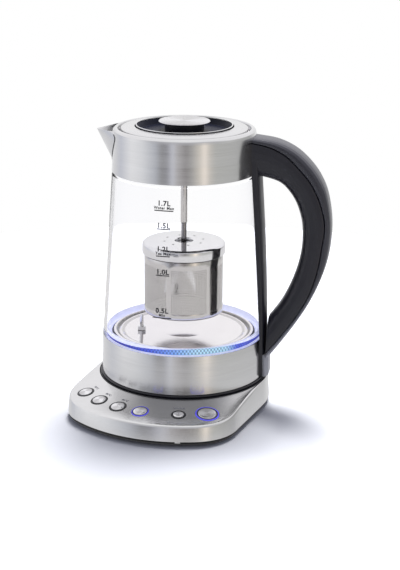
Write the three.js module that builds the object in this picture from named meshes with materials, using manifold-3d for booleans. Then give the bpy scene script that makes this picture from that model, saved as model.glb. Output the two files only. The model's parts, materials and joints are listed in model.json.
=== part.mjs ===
// Glass kettle with a hanging tea infuser, standing on a powered base with six push buttons.
// Lengths are in millimetres. The origin lies on the table under the kettle's axis, +Z points up,
// and the sloping button panel of the base faces -Y. Inside the kettle's group, heights count from
// the bottom edge of the lower steel band, the handle points along +X and the beak along -X.
import * as THREE from "three";
import { mergeVertices } from "three/addons/utils/BufferGeometryUtils.js";
import Module from "manifold-3d";

const wasm = await Module();
wasm.setup();
const degrees = THREE.MathUtils.degToRad;

// Clearances and overruns shared by all pieces
const fitGap = 0.3; // between pieces that touch
const runGap = 0.5; // between pieces that slide or turn past each other
const overrun = 4; // how far a cutting body runs past what it cuts

// Facets: sides of a full turn
const bodySides = 32;
const innerSides = 24;
const midSides = 20;
const buttonSides = 16;
const smallSides = 12;

// Stance
const tableToBand = 30; // table to the bottom edge of the lower band
const kettleTurn = degrees(13.8); // the kettle stands turned on its base

// Lower band, with a black collar round its foot
const lowerBandHeight = 35;
const lowerBandFootRadius = 73.4;
const lowerBandTaper = 0.6;
const bandSheet = 0.9;
const collarStep = 1.2;
const collarDrop = 2.4;
const collarWall = 2.1;
const collarBevel = 0.8;
const lowerBandTopRadius = lowerBandFootRadius - lowerBandTaper;
const collarRadius = lowerBandFootRadius + collarStep;

// Jug: a tapered glass wall between two steel bands
const jugStep = 0.4; // how far the glass sits back from the lower band
const jugNeckRadius = 63;
const jugCrown = 0.4; // how far the wall bulges past a straight cone
const jugHeight = 145; // glass that shows between the bands
const glassWall = 3.2;
const glassFootDepth = 3.7; // glass that stands inside the lower band
const glassNeckDepth = 12; // glass that reaches up inside the upper band
const upperSealHeight = 2;
const jugFootRadius = lowerBandTopRadius - jugStep;
const jugTop = lowerBandHeight + jugHeight;
const glassFootLow = lowerBandHeight - glassFootDepth;
const glassFootRadius = lowerBandTopRadius - bandSheet - 2 * fitGap;
const glassNeckTop = jugTop + glassNeckDepth;

// Upper band with a rolled rim and an inner lip round the mouth
const upperBandStep = 0.1;
const upperBandTaper = 0.7;
const upperBandHeight = 40.2;
const mouthInset = 6.5; // from the band's side to the mouth
const rimRoll = 6.7; // height of the rounded shoulder
const lipDepth = 7;
const upperBandFootRadius = jugNeckRadius + upperBandStep;
const upperBandRadius = upperBandFootRadius - upperBandTaper;
const glassNeckRadius = upperBandRadius - bandSheet - fitGap;
const mouthRadius = upperBandRadius - mouthInset;
const rimTop = jugTop + upperBandHeight;
const shoulderHeight = rimTop - rimRoll;

// Board with light-emitting diodes on an upstand, and the translucent ring over it
const boardThickness = 1.6;
const ledBoardInset = 2.3;
const ledBoardWidth = 7;
const ledCount = 12;
const ledSize = 3;
const ledHeight = 1.2;
const carrierInset = 2;
const carrierWall = 1.6;
const lightRingFoot = 0.6; // flange under the glass
const lightLipHeight = 6; // lip that shows over the lower band
const lightLipWall = 1.4;
const lightFlangeWidth = 7.8;
const lightFlangeWall = 1.8;
const ledBoardOuter = glassFootRadius - ledBoardInset;
const ledBoardInner = ledBoardOuter - ledBoardWidth;
const carrierRadius = ledBoardOuter - carrierInset;
const lightRingLow = glassFootLow - fitGap - lightRingFoot;
const lightFlangeTop = lowerBandHeight;
const lightFlangeInner = jugFootRadius - glassWall - lightFlangeWidth;
const lightLipTop = lowerBandHeight + lightLipHeight;
const ledBoardTop = lightRingLow - fitGap - ledHeight;

// Heating plate: a pressed dish with a raised rim and a rolled bead
const plateLap = 1.2; // how far its rim reaches out over the light ring's flange
const plateSheet = 1;
const plateRimRise = 2.7;
const plateRimWidth = 2.2;
const plateGrooveInset = 4;
const plateBeadInset = 6.6;
const plateBeadDrop = 0.7;
const plateDishInset = 9.1;
const plateDishDepth = 2.1;
const plateDishDip = 0.4;
const plateDomeShare = 0.38;
const sealLip = 1.6;
const elementInset = 5.5;
const elementRadius = 3.4;
const elementSpan = degrees(300);
const plateRadius = lightFlangeInner + plateLap;
const plateRimTop = lowerBandHeight + plateRimRise;
const plateBeadTop = plateRimTop - plateBeadDrop;
const plateDishTop = plateRimTop - plateDishDepth;
const plateDishRadius = plateRadius - plateDishInset;
const sealLow = lightFlangeTop + fitGap;
const sealTop = plateRimTop - plateSheet - fitGap;

// Temperature probe that stands through the plate
const probeCircle = 37.6;
const probeAngle = degrees(191.7);
const probeRadius = 1.6;
const probeRise = 12.3; // over the plate's rim
const probeDepth = 7.5; // below the plate
const probeFlangeRadius = 3;
const probeFlangeHeight = 2.2;
const probeNutRadius = 4;
const probeNutHeight = 3;

// Connector post on the base, the round coupler in the kettle that turns on it, and the control unit
const postRadius = 11;
const postHeight = 10; // over the seat
const postFlange = 4;
const postFlangeHeight = 2;
const postBevel = 0.8;
const postSlotInset = 2.8;
const postSlotWidth = 2.4;
const postSlotDepth = 8;
const postPinHole = 2.8;
const postPinDepth = 8.5;
const couplerRadius = 23.5;
const couplerFlange = 2;
const couplerLedge = 3.5; // underside of its flange over the band's bottom edge
const couplerLift = 1.1; // its foot over the seat
const couplerRoof = 3.2;
const couplerContact = 6.5; // length of its ring and pin contacts
const controlMargin = 1.1;
const controlWall = 2.4;
const controlHeight = 8.5;
const controlBevel = 3;
const postSlotOuter = postRadius - postSlotInset;
const postSlotInner = postSlotOuter - postSlotWidth;

// Beak: an open V of sheet welded to the upper band
const beakProud = 15.3; // from the band's side to the tip
const beakTipDrop = 4.2; // tip below the rim
const beakRootDrop = 2; // top edge below the rim at the root
const beakFootRise = 4; // foot over the band's foot
const beakWidth = 60; // at its widest, across the root
const beakTipRound = 2.4;
const beakBulge = 1.2;
const pourWidth = 24;
const pourRise = 14; // pouring hole's sill over the beak's foot
const pourDrop = 1; // its head below the rounded shoulder
const beakFootHeight = jugTop + beakFootRise;

// Handle: a closed C with a crowned outer cover, and a spine down the glass
const handleReach = 67.6; // from the upper band's side to the outermost point
const handleLow = 16;
const handleTopDrop = 4.2;
const handleHalfWidth = 14.8;
const handleStations = 22;
const spineHalfWidth = 14.4;
const spineFaceHalfWidth = 8;
const spineProud = 7;
const spineDrop = 1;
const spineRise = 10;
const coverFootWall = 2.6;
const handleHeight = rimTop - handleTopDrop - handleLow;
const spineLow = -spineDrop;
const spineTop = jugTop + spineRise;

// Infuser lift: knob disc on its hub, and a rod in two thicknesses
const knobRadius = 22.3;
const knobThickness = 2.1;
const knobDish = 0.6;
const knobEdge = 0.8;
const hubRadius = 17;
const hubHeight = 6.7;
const hubRoof = 2.6;
const hubBevel = 0.5;
const liftTubeRadius = 2.95;
const liftTubeLength = 85.7;
const liftRodRadius = 2.4;
const liftRodLength = 16.2; // from the tube's end to the basket lid's crown
const spigotRadius = 1.5;
const spigotLength = 9;
const bushWall = 1.7;
const bushFlange = 1.6;
const bushFlangeHeight = 2.2;

// Lid: steel ring, trim ring, black insert, plug and seal
const lidGap = 0.8;
const lidRingWidth = 12.1;
const lidEdgeDrop = 0.6; // ring's outer edge below the rim
const lidCrown = 1.6;
const lidSkirt = 2.8;
const insertGap = 0.8;
const insertProud = 0.4;
const insertDepth = 5;
const insertSheet = 1.6;
const insertWall = 1;
const insertBevel = 2.6;
const trimThickness = 0.5;
const plugDepth = 16.6;
const plugInset = 5.9;
const plugNeck = 10.5;
const plugFlangeInset = 2.2;
const lidSealHeight = 2.4;
const lidRadius = mouthRadius - lidGap;
const lidHoleRadius = lidRadius - lidRingWidth;
const lidEdgeHeight = rimTop - lidEdgeDrop;
const lidCrownHeight = lidEdgeHeight + lidCrown;
const insertRadius = lidHoleRadius - insertGap;
const insertTop = lidCrownHeight + insertProud;
const insertFloor = insertTop - insertDepth;
const insertBore = liftTubeRadius + 2 * runGap;
const plugLow = lidEdgeHeight - plugDepth;
const plugRadius = mouthRadius - plugInset;
const plugFlangeRadius = mouthRadius - plugFlangeInset;
const hubLow = insertFloor + fitGap;
const hubTop = hubLow + hubHeight;
const liftTubeTop = hubTop - hubRoof - fitGap;
const liftTubeLow = liftTubeTop - liftTubeLength;

// Infuser: polished lid on a steel basket with six mesh panels
const basketSheet = 0.8;
const basketRadius = 35.2;
const basketClear = 14.5; // from the heating plate's rim to the basket's floor
const basketLidStep = 0.5;
const basketLidSkirt = 10.6;
const basketLidEdgeDrop = 2.5;
const basketLidRise = 0.9; // crown over the shoulder
const basketLidRound = 1.8;
const basketDishRadius = 7.7;
const basketDishDepth = 4.4;
const drainHoles = 8;
const drainHoleRadius = 0.8;
const drainCircle = 22;
const basketNeckHeight = 6.4;
const basketFlange = 2.7;
const basketBevel = 0.4;
const panelCount = 6;
const panelStrip = degrees(7); // plain strip between two panels
const panelTurn = degrees(-102); // middle of the first strip, round the kettle's axis
const basketFootBand = 7.8; // plain band under the panels
const basketNeckBand = 8.2; // plain band over the panels
const meshSheet = 0.4;
const meshColumns = 24;
const meshRows = 3;
const meshWireShare = 0.34;
const floorSheet = 0.6;
const basketLidCrown = liftTubeLow - liftRodLength;
const basketLidRadius = basketRadius + basketLidStep;
const basketLidSkirtLow = basketLidCrown - basketLidSkirt;
const basketInner = basketRadius - basketSheet;
const basketLow = plateRimTop + basketClear;
const basketNeckLow = basketLidSkirtLow - fitGap;
const basketNeckRadius = basketLidRadius - basketSheet - 2 * fitGap;
const panelLow = basketLow + basketFootBand;
const panelHigh = basketLidSkirtLow - basketNeckBand;

// Base: an outline of two flats, a round back, a front arc and two corner rounds
const seatMargin = 1.4; // from the kettle's collar to the seat's edge
const baseRimWidth = 1.2; // steel beside the seat at the narrowest place
const panelReach = 37.7; // how far the front arc lies out from the flats' distance
const baseCornerRadius = 40;
const baseFlare = 1.4; // how far the cover's wall spreads towards its foot
const baseSheet = 1;
const panelSlope = degrees(12);
const coverFoot = 5.3;
const coverRound = 3;
const seatThickness = 2.5;
const trayLow = 1.2;
const trayFloor = 2.4;
const trayWall = 2;
const trayUpstand = 10;
const trayRound = 7;
const postWall = 2;
const seatHoleRadius = collarRadius + seatMargin;
const baseHalfWidth = seatHoleRadius + baseRimWidth;
const baseFrontRadius = baseHalfWidth + panelReach;

// Feet, as shares of the base's half width and of its front radius, and screws
const footRadius = 7;
const footRecess = 1.1;
const footPlaceShares = [
  ["foot_front_left", -0.67, -0.68],
  ["foot_front_right", 0.67, -0.68],
  ["foot_back_left", -0.6, 0.4],
  ["foot_back_right", 0.6, 0.4],
  ["foot_centre", 0, 0],
];
const screwCircle = 40;
const screwAngles = [90, 210, 330].map(degrees);
const screwHeadRadius = 3.2;
const screwHeadHeight = 1.3;
const screwRadius = 1.4;
const screwLength = 9;
const screwPostRadius = 4;

// Cord gland in the middle of the back
const glandHeight = 12.4;
const glandRadius = 5.5;
const glandBore = 3.5;
const glandFlange = 1.7;
const glandFlangeWall = 1.5;
const glandNose = 6.2;
const glandDepth = 5;
const glandFloor = 1.2;

// Buttons: radii of their rings and caps, and their angles round the axis from -Y towards +X
const tempRing = 7.4;
const tempCap = 5.9;
const warmRing = 6.1;
const warmCap = 4.5;
const powerRing = 10.1;
const powerCap = 7.8;
const buttonInset = 16.9; // from the front arc to the buttons' circle
const buttonPlaces = [
  ["temp_button_1", degrees(-37.1), tempRing, tempCap],
  ["temp_button_2", degrees(-24.1), tempRing, tempCap],
  ["temp_button_3", degrees(-11), tempRing, tempCap],
  ["temp_button_4", degrees(1.9), tempRing, tempCap],
  ["keep_warm_button", degrees(21.5), warmRing, warmCap],
  ["power_button", degrees(35.8), powerRing, powerCap],
];
const ringProud = 0.4;
const ringDepth = 4;
const capRise = 1.3;
const capEdge = 0.6;
const capDepth = 1.6;
const capCrownShare = 0.7;
const stemRadius = 1.8;
const stemLength = 8;
const buttonTravel = 0.8;
const switchSize = 6;
const switchHeight = 3.5;
const controlBoardHalfWidth = 8.5;
const controlBoardSpan = degrees(40);
const boardPegRadius = 3;
const buttonCircle = baseFrontRadius - buttonInset;

// Heights over the table that follow from the sizes above
const seatTop = tableToBand - collarDrop - fitGap;
const seatLow = seatTop - seatThickness;
const trayFloorTop = trayLow + trayFloor;
const footPlaces = footPlaceShares.map(([name, x, y]) => [name, x * baseHalfWidth, y * baseFrontRadius]);
const panelHeight = (radius) => seatTop - (radius - seatHoleRadius) * Math.tan(panelSlope);
const coverWallRadius = (reach, height) =>
  reach + (baseFlare * (panelHeight(reach) - height)) / (panelHeight(reach) - coverFoot);

// Heights over the lower band's bottom edge that follow from the sizes above
const glassRadius = (height) => {
  const share = (height - lowerBandHeight) / jugHeight;
  const cone = THREE.MathUtils.lerp(jugFootRadius, jugNeckRadius, share);
  return cone + jugCrown * 4 * share * (1 - share);
};
const lightLipRadius = glassRadius(lightLipTop) - glassWall - fitGap;
const seatBelowBand = -collarDrop - fitGap;
const postTop = seatBelowBand + postHeight;

// A closed geometry as a solid whose faces point out
function solidOf(geometry) {
  const bare = geometry.index ? geometry.toNonIndexed() : geometry;
  for (const name of Object.keys(bare.attributes)) if (name !== "position") bare.deleteAttribute(name);
  const merged = mergeVertices(bare);
  const triVerts = new Uint32Array(merged.index.array);
  const vertProperties = merged.attributes.position.array;
  const build = () => new wasm.Manifold(new wasm.Mesh({ numProp: 3, vertProperties, triVerts }));
  const first = build();
  if (first.volume() > 0) return first;
  for (let i = 0; i < triVerts.length; i += 3) triVerts.subarray(i, i + 3).reverse();
  return build();
}

// A profile of [radius, height] pairs turned about Z; it starts and ends on the axis or closes on itself
function turned(profile, sides = bodySides, place = new THREE.Matrix4()) {
  const points = profile.map(([radius, height]) => new THREE.Vector2(radius, height));
  if (profile[0][0] > 0) points.push(points[0].clone());
  return solidOf(new THREE.LatheGeometry(points, sides).rotateX(Math.PI / 2).applyMatrix4(place));
}

const ring = (inner, outer, low, high, sides) =>
  turned([[inner, low], [outer, low], [outer, high], [inner, high]], sides);

function drum(radius, low, high, sides = smallSides, place = new THREE.Matrix4()) {
  const geometry = new THREE.CylinderGeometry(radius, radius, high - low, sides);
  return solidOf(geometry.rotateX(Math.PI / 2).translate(0, 0, (low + high) / 2).applyMatrix4(place));
}

function block(low, high, place = new THREE.Matrix4()) {
  const size = high.clone().sub(low);
  const middle = high.clone().add(low).multiplyScalar(1 / 2);
  const geometry = new THREE.BoxGeometry(size.x, size.y, size.z).translate(middle.x, middle.y, middle.z);
  return solidOf(geometry.applyMatrix4(place));
}

// Closed rings of points joined one to the next; looped rings meet again, others get end caps
function skin(rings, looped = false) {
  const corners = [];
  const count = rings[0].length;
  const spans = looped ? rings.length : rings.length - 1;
  for (let i = 0; i < spans; i++) {
    const here = rings[i];
    const next = rings[(i + 1) % rings.length];
    for (let k = 0; k < count; k++) {
      const m = (k + 1) % count;
      corners.push(here[k], here[m], next[m], here[k], next[m], next[k]);
    }
  }
  const cap = (points, turn) => {
    const centre = points.reduce((sum, p) => sum.add(p), new THREE.Vector3()).divideScalar(count);
    for (let k = 0; k < count; k++) {
      const pair = [points[k], points[(k + 1) % count]];
      corners.push(centre, ...(turn ? pair.reverse() : pair));
    }
  };
  if (!looped) {
    cap(rings[0], true);
    cap(rings.at(-1), false);
  }
  return solidOf(new THREE.BufferGeometry().setFromPoints(corners));
}

// A profile swept round Z, where profileAt(reach) follows the distance of an outline from the axis
function sweptRound(profileAt, outline) {
  const rings = outline.map(({ x, y }) => {
    const reach = Math.hypot(x, y);
    const at = ([radius, height]) => new THREE.Vector3((x / reach) * radius, (y / reach) * radius, height);
    return profileAt(reach).map(at);
  });
  return skin(rings, true);
}

const turnZ = (angle) => new THREE.Matrix4().makeRotationZ(angle);
const shift = (x, y, z) => new THREE.Matrix4().makeTranslation(x, y, z);

function toMesh(name, solid, material) {
  const made = solid.getMesh();
  const positions = new Float32Array(made.numVert * 3);
  for (let i = 0; i < made.numVert; i++) {
    positions.set(made.vertProperties.subarray(i * made.numProp, i * made.numProp + 3), i * 3);
  }
  const geometry = new THREE.BufferGeometry();
  geometry.setAttribute("position", new THREE.BufferAttribute(positions, 3));
  geometry.setIndex(new THREE.BufferAttribute(made.triVerts, 1));
  geometry.computeVertexNormals();
  const mesh = new THREE.Mesh(geometry, material);
  mesh.name = name;
  return mesh;
}

const finish = (color, roughness, metalness, extra = {}) =>
  new THREE.MeshStandardMaterial({ color, roughness, metalness, flatShading: true, ...extra });
const brushedSteel = finish(0xb9bbbd, 0.35, 1);
const polishedSteel = finish(0xd5d6d8, 0.12, 1);
const blackPlastic = finish(0x1d1d22, 0.45, 0);
const coverPlastic = finish(0x55565e, 0.4, 0);
const clearGlass = finish(0xf2f6fa, 0.05, 0, { transparent: true, opacity: 0.25 });
const whiteSilicone = finish(0xe6e4e6, 0.6, 0);
const darkRubber = finish(0x2a2a2c, 0.8, 0);
const lightPlastic = finish(0xaab4ff, 0.3, 0, { emissive: 0x3a55ff });
const darkRing = finish(0x33343a, 0.4, 0);
const boardGreen = finish(0x1f5a3a, 0.6, 0);

// Lower band, collar, coupler and control unit

const bandBendShare = 0.6; // the band tapers up to here, then rises straight

function lowerBand() {
  const bend = bandBendShare * lowerBandHeight;
  return turned([
    [lowerBandFootRadius - bandSheet, 0],
    [lowerBandFootRadius, 0],
    [lowerBandTopRadius, bend],
    [lowerBandTopRadius, lowerBandHeight],
    [lowerBandTopRadius - bandSheet, lowerBandHeight],
    [lowerBandTopRadius - bandSheet, bend],
  ]);
}

const collarFloorTop = collarWall - collarDrop;

function bottomCollar() {
  const hole = couplerRadius + runGap;
  const ledgeTop = couplerLedge - fitGap;
  return turned([
    [hole, -collarDrop],
    [collarRadius - collarBevel, -collarDrop],
    [collarRadius, collarBevel - collarDrop],
    [collarRadius, collarFloorTop],
    [hole + couplerFlange, collarFloorTop],
    [hole + couplerFlange, ledgeTop],
    [hole, ledgeTop],
  ]);
}

function kettleCoupler() {
  const bore = postRadius + runGap;
  const foot = seatBelowBand + couplerLift;
  const roof = postTop + runGap;
  const top = roof + couplerRoof;
  const contactLow = roof - couplerContact;
  const flangeRadius = couplerRadius + couplerFlange;
  return turned([
    [0, contactLow],
    [postPinHole - runGap, contactLow],
    [postPinHole - runGap, roof],
    [postSlotInner + runGap, roof],
    [postSlotInner + runGap, contactLow],
    [postSlotOuter - runGap, contactLow],
    [postSlotOuter - runGap, roof],
    [bore, roof],
    [bore, foot],
    [couplerRadius, foot],
    [couplerRadius, couplerLedge],
    [flangeRadius, couplerLedge],
    [flangeRadius, top],
    [0, top],
  ], midSides);
}

function controlUnit() {
  const roof = postTop + runGap + couplerRoof + runGap;
  const skirtInner = couplerRadius + couplerFlange + controlMargin;
  const controlRadius = skirtInner + controlWall;
  const foot = collarFloorTop + fitGap;
  return turned([
    [0, roof],
    [skirtInner, roof],
    [skirtInner, foot],
    [controlRadius, foot],
    [controlRadius, roof + controlHeight - controlBevel],
    [controlRadius - controlBevel, roof + controlHeight],
    [0, roof + controlHeight],
  ], midSides);
}

// Light ring, its board and the upstand that carries the board

function ledCarrier() {
  const high = ledBoardTop - boardThickness - fitGap;
  return ring(carrierRadius - carrierWall, carrierRadius, collarFloorTop + fitGap, high, bodySides);
}

function ledBoard() {
  let board = ring(ledBoardInner, ledBoardOuter, ledBoardTop - boardThickness, ledBoardTop, bodySides);
  const circle = (ledBoardInner + ledBoardOuter) / 2;
  for (let i = 0; i < ledCount; i++) {
    const half = ledSize / 2;
    const low = new THREE.Vector3(circle - half, -half, ledBoardTop - boardThickness / 2);
    const high = new THREE.Vector3(circle + half, half, ledBoardTop + ledHeight);
    board = board.add(block(low, high, turnZ((i / ledCount) * 2 * Math.PI)));
  }
  return board;
}

function lightRing() {
  const footTop = lightRingLow + lightRingFoot;
  const lipInner = lightLipRadius - lightLipWall;
  return turned([
    [glassFootRadius, lightRingLow],
    [glassFootRadius, footTop],
    [lightLipRadius, footTop],
    [lightLipRadius, lightLipTop],
    [lipInner, lightLipTop],
    [lipInner, lightFlangeTop],
    [lightFlangeInner, lightFlangeTop],
    [lightFlangeInner, lightFlangeTop - lightFlangeWall],
    [lipInner - lightLipWall, lightFlangeTop - lightFlangeWall],
    [lipInner - lightLipWall, lightRingLow],
  ]);
}

// Heating plate, its seal and element, and the probe

const probeMatrix = turnZ(probeAngle).multiply(shift(probeCircle, 0, 0));

function heatingPlate() {
  const rimInner = plateRadius - plateRimWidth;
  const rimLow = plateRimTop - plateSheet;
  const grooveRadius = plateRadius - plateGrooveInset;
  const dishLow = plateDishTop - plateDishDip - plateSheet;
  const dish = turned([
    [0, dishLow],
    [grooveRadius + plateSheet, dishLow],
    [rimInner + plateSheet, rimLow],
    [plateRadius, rimLow],
    [plateRadius, plateRimTop],
    [rimInner, plateRimTop],
    [grooveRadius, plateDishTop],
    [plateRadius - plateBeadInset, plateBeadTop],
    [plateDishRadius, plateDishTop],
    [plateDishRadius * plateDomeShare, plateDishTop - plateDishDip],
    [0, plateDishTop + plateDishDip],
  ]);
  const probeHole = drum(
    probeRadius + fitGap, dishLow - overrun, plateDishTop + overrun, smallSides, probeMatrix,
  );
  return dish.subtract(probeHole);
}

const plateSeal = () => ring(lightFlangeInner + fitGap, plateRadius + sealLip, sealLow, sealTop, bodySides);

function heatingElement() {
  const top = plateDishTop - plateDishDip - plateSheet - fitGap;
  const circle = plateDishRadius - elementInset;
  const start = -elementSpan / 2;
  const points = [];
  const steps = 24;
  for (let i = 0; i <= steps; i++) {
    const angle = start + (i / steps) * elementSpan;
    points.push(new THREE.Vector3(circle * Math.cos(angle), circle * Math.sin(angle), top - elementRadius));
  }
  const section = new THREE.Shape().absarc(0, 0, elementRadius, 0, 2 * Math.PI);
  const extrudePath = new THREE.CatmullRomCurve3(points);
  return solidOf(new THREE.ExtrudeGeometry(section, { steps, curveSegments: 3, extrudePath }));
}

function probeStem() {
  const plateLow = plateDishTop - plateDishDip - plateSheet;
  const stem = drum(probeRadius, plateLow - probeDepth, plateRimTop + probeRise, smallSides, probeMatrix);
  const high = plateLow - fitGap;
  return stem.add(drum(probeFlangeRadius, high - probeFlangeHeight, high, smallSides, probeMatrix));
}

function probeNut() {
  const low = plateDishTop + fitGap;
  const hex = drum(probeNutRadius, low, low + probeNutHeight, 6, probeMatrix);
  return hex.subtract(
    drum(probeRadius + fitGap, low - overrun, low + probeNutHeight + overrun, smallSides, probeMatrix),
  );
}

// Glass wall with a ground foot and neck that stand inside the bands

const glassShown = jugHeight - 2 * fitGap;
const glassLevels = [0, 1, 2, 3].map((step) => lowerBandHeight + fitGap + (step / 3) * glassShown);

function glassBody() {
  const outside = glassLevels.map((height) => [glassRadius(height), height]);
  const inside = glassLevels.map((height) => [glassRadius(height) - glassWall, height]).reverse();
  return turned([
    [glassFootRadius, glassFootLow],
    [glassFootRadius, glassLevels[0]],
    ...outside,
    [glassNeckRadius, glassLevels.at(-1)],
    [glassNeckRadius, glassNeckTop],
    [jugNeckRadius - glassWall, glassNeckTop],
    ...inside,
    [jugFootRadius - glassWall, glassFootLow],
  ]);
}

function upperSeal() {
  const low = glassNeckTop + fitGap;
  return ring(jugNeckRadius - glassWall, glassNeckRadius, low, low + upperSealHeight, bodySides);
}

// Outer line of the upper band, grown by a gap where others are cut back from it
function upperBandOutline(grow) {
  return [
    [upperBandFootRadius + grow, jugTop],
    [upperBandRadius + grow, (jugTop + shoulderHeight) / 2],
    [upperBandRadius + grow, shoulderHeight],
    [upperBandRadius - 0.12 * rimRoll + grow, rimTop - 0.45 * rimRoll],
    [upperBandRadius - 0.45 * rimRoll + grow, rimTop - 0.13 * rimRoll + grow],
    [mouthRadius, rimTop + grow],
  ];
}

function upperBand() {
  const outside = upperBandOutline(0);
  const inside = upperBandOutline(-bandSheet).slice(0, 5).reverse();
  const shell = turned([
    ...outside,
    [mouthRadius, rimTop - lipDepth],
    [mouthRadius + bandSheet, rimTop - lipDepth],
    [mouthRadius + bandSheet, rimTop - 2 * bandSheet],
    ...inside,
  ]);
  const half = pourWidth / 2;
  const low = new THREE.Vector3(-upperBandRadius - overrun, -half, beakFootHeight + pourRise);
  const high = new THREE.Vector3(overrun - mouthRadius, half, shoulderHeight - pourDrop);
  return shell.subtract(block(low, high));
}

// Everything that the handle and the beak are cut back from
function kettleEnvelope() {
  const foot = spineLow - overrun;
  return turned([
    [0, foot],
    [collarRadius + fitGap, foot],
    [collarRadius + fitGap, fitGap],
    [lowerBandFootRadius + fitGap, fitGap],
    [lowerBandTopRadius + fitGap, bandBendShare * lowerBandHeight],
    [lowerBandTopRadius + fitGap, lowerBandHeight + fitGap],
    ...glassLevels.slice(1, 3).map((height) => [glassRadius(height) + fitGap, height]),
    ...upperBandOutline(fitGap),
    [0, rimTop + overrun],
  ]);
}

// Beak

// Rows of the beak: height share, reach share and width share, from its foot to its open top
const beakShares = [
  [0, 0, 0.1],
  [0.26, 0.26, 0.47],
  [0.6, 0.6, 0.8],
  [0.9, 0.9, 1],
  [1, 1, 0.84],
];

function beakSection([heightShare, reachShare, widthShare], inset) {
  const height = THREE.MathUtils.lerp(beakFootHeight, rimTop - beakTipDrop, heightShare);
  const rootLift = heightShare === 1 ? beakTipDrop - beakRootDrop : 0;
  const tip = upperBandRadius + beakProud * reachShare - inset;
  const half = (beakWidth / 2) * widthShare - inset;
  const root = Math.sqrt(upperBandRadius ** 2 - half ** 2) - overrun;
  const side = (share) => [
    THREE.MathUtils.lerp(tip - beakTipRound / 2, root, share),
    THREE.MathUtils.lerp(beakTipRound, half, share) + beakBulge * Math.sin(Math.PI * share),
    height + rootLift * share,
  ];
  const line = [1, 0.5, 0].map(side);
  const mirror = ([x, y, z]) => new THREE.Vector3(-x, -y, z);
  const near = line.map(([x, y, z]) => new THREE.Vector3(-x, y, z));
  return [...near, new THREE.Vector3(-tip, 0, height), ...line.map(mirror).reverse()];
}

function beak(envelope) {
  const outer = skin(beakShares.map((share) => beakSection(share, 0)));
  const inner = skin(beakShares.slice(1).map((share) => beakSection(share, bandSheet)));
  const top = beakSection(beakShares.at(-1), bandSheet);
  const lifted = top.map((point) => point.clone().add(new THREE.Vector3(0, 0, overrun)));
  const mouth = skin([top, lifted]);
  return outer.subtract(inner.add(mouth)).subtract(envelope);
}

// The kettle's side as one straight line, by share of the spine's height and by height
const wallLine = (share) => THREE.MathUtils.lerp(lowerBandFootRadius, upperBandRadius, share);
const wallAt = (height) => wallLine(Math.min(height / jugTop, 1));

// Handle: three rails in its plane, as shares of its reach from the kettle's side and of its height

const outerRailShares = [
  [-0.06, 1], [0.03, 0.998], [0.29, 0.987], [0.52, 0.951], [0.7, 0.896], [0.845, 0.831], [0.93, 0.747],
  [0.964, 0.62], [0.921, 0.492], [0.821, 0.385], [0.663, 0.275], [0.468, 0.172], [0.223, 0.061], [0.074, 0],
];
const seamRailShares = [
  [-0.06, 0.982], [-0.01, 0.977], [0.203, 0.96], [0.407, 0.921], [0.59, 0.858], [0.725, 0.798],
  [0.819, 0.714], [0.857, 0.621], [0.826, 0.526], [0.75, 0.42], [0.615, 0.313], [0.445, 0.219],
  [0.252, 0.124], [0.042, 0.027],
];
const innerRailShares = [
  [-0.06, 0.84], [0.134, 0.83], [0.323, 0.81], [0.454, 0.771], [0.551, 0.718], [0.612, 0.648],
  [0.623, 0.585], [0.587, 0.505], [0.512, 0.424], [0.388, 0.336], [0.242, 0.256], [0.07, 0.185],
];
// Cross sections: share of the depth from the inner rail to the seam (or from the seam to the outer
// rail) and share of the half width
const shellSectionShares = [
  [0, -0.55], [0.12, -0.88], [0.36, -1], [1, -1],
  [1, 1], [0.36, 1], [0.12, 0.88], [0, 0.55],
];
const coverSectionShares = [
  [0, -1], [0.42, -1], [0.8, -0.72], [1, -0.3],
  [1, 0.3], [0.8, 0.72], [0.42, 1], [0, 1],
];

function rail(shares) {
  const points = shares.map(([reachShare, heightShare]) => {
    const height = handleLow + heightShare * handleHeight;
    return new THREE.Vector3(wallAt(height) + reachShare * handleReach, 0, height);
  });
  return new THREE.CatmullRomCurve3(points).getSpacedPoints(handleStations);
}

function handleLoft(fromRail, toRail, sectionShares, gap) {
  const rings = fromRail.map((from, i) => {
    const depth = toRail[i].clone().sub(from);
    const start = from.clone().addScaledVector(depth.clone().normalize(), gap);
    const run = toRail[i].clone().sub(start);
    return sectionShares.map(([depthShare, widthShare]) => {
      const point = start.clone().addScaledVector(run, depthShare);
      return point.setY(widthShare * handleHalfWidth);
    });
  });
  return skin(rings);
}

// Spine: share of its height, and how proud its corner and its outer face stand, as shares
const spineRowShares = [
  [0, 0.03, 0.51],
  [0.3, 0.27, 0.98],
  [0.635, 0.43, 1.15],
  [0.95, 0.43, 1],
  [1, 0.46, 1],
];

function spineBody(grow) {
  const half = spineHalfWidth + grow;
  const rings = spineRowShares.map(([heightShare, cornerShare, faceShare], i) => {
    const end = i === 0 ? -grow : i === spineRowShares.length - 1 ? grow : 0;
    const height = THREE.MathUtils.lerp(spineLow, spineTop, heightShare) + end;
    const corner = wallLine(heightShare) + cornerShare * spineProud + grow;
    const face = wallLine(heightShare) + faceShare * spineProud + grow;
    const line = [[mouthRadius, half], [corner, half], [face, spineFaceHalfWidth + grow]];
    const mirrored = line.map(([x, y]) => [x, -y]).reverse();
    return [...line, ...mirrored].map(([x, y]) => new THREE.Vector3(x, y, height));
  });
  return skin(rings);
}

function coverFootPlate() {
  const face = wallLine(0) + spineRowShares[0][2] * spineProud + fitGap;
  const low = new THREE.Vector3(face, -spineHalfWidth, 0);
  const high = new THREE.Vector3(face + coverFootWall, spineHalfWidth, handleLow + overrun);
  return block(low, high);
}

// Lid

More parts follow.
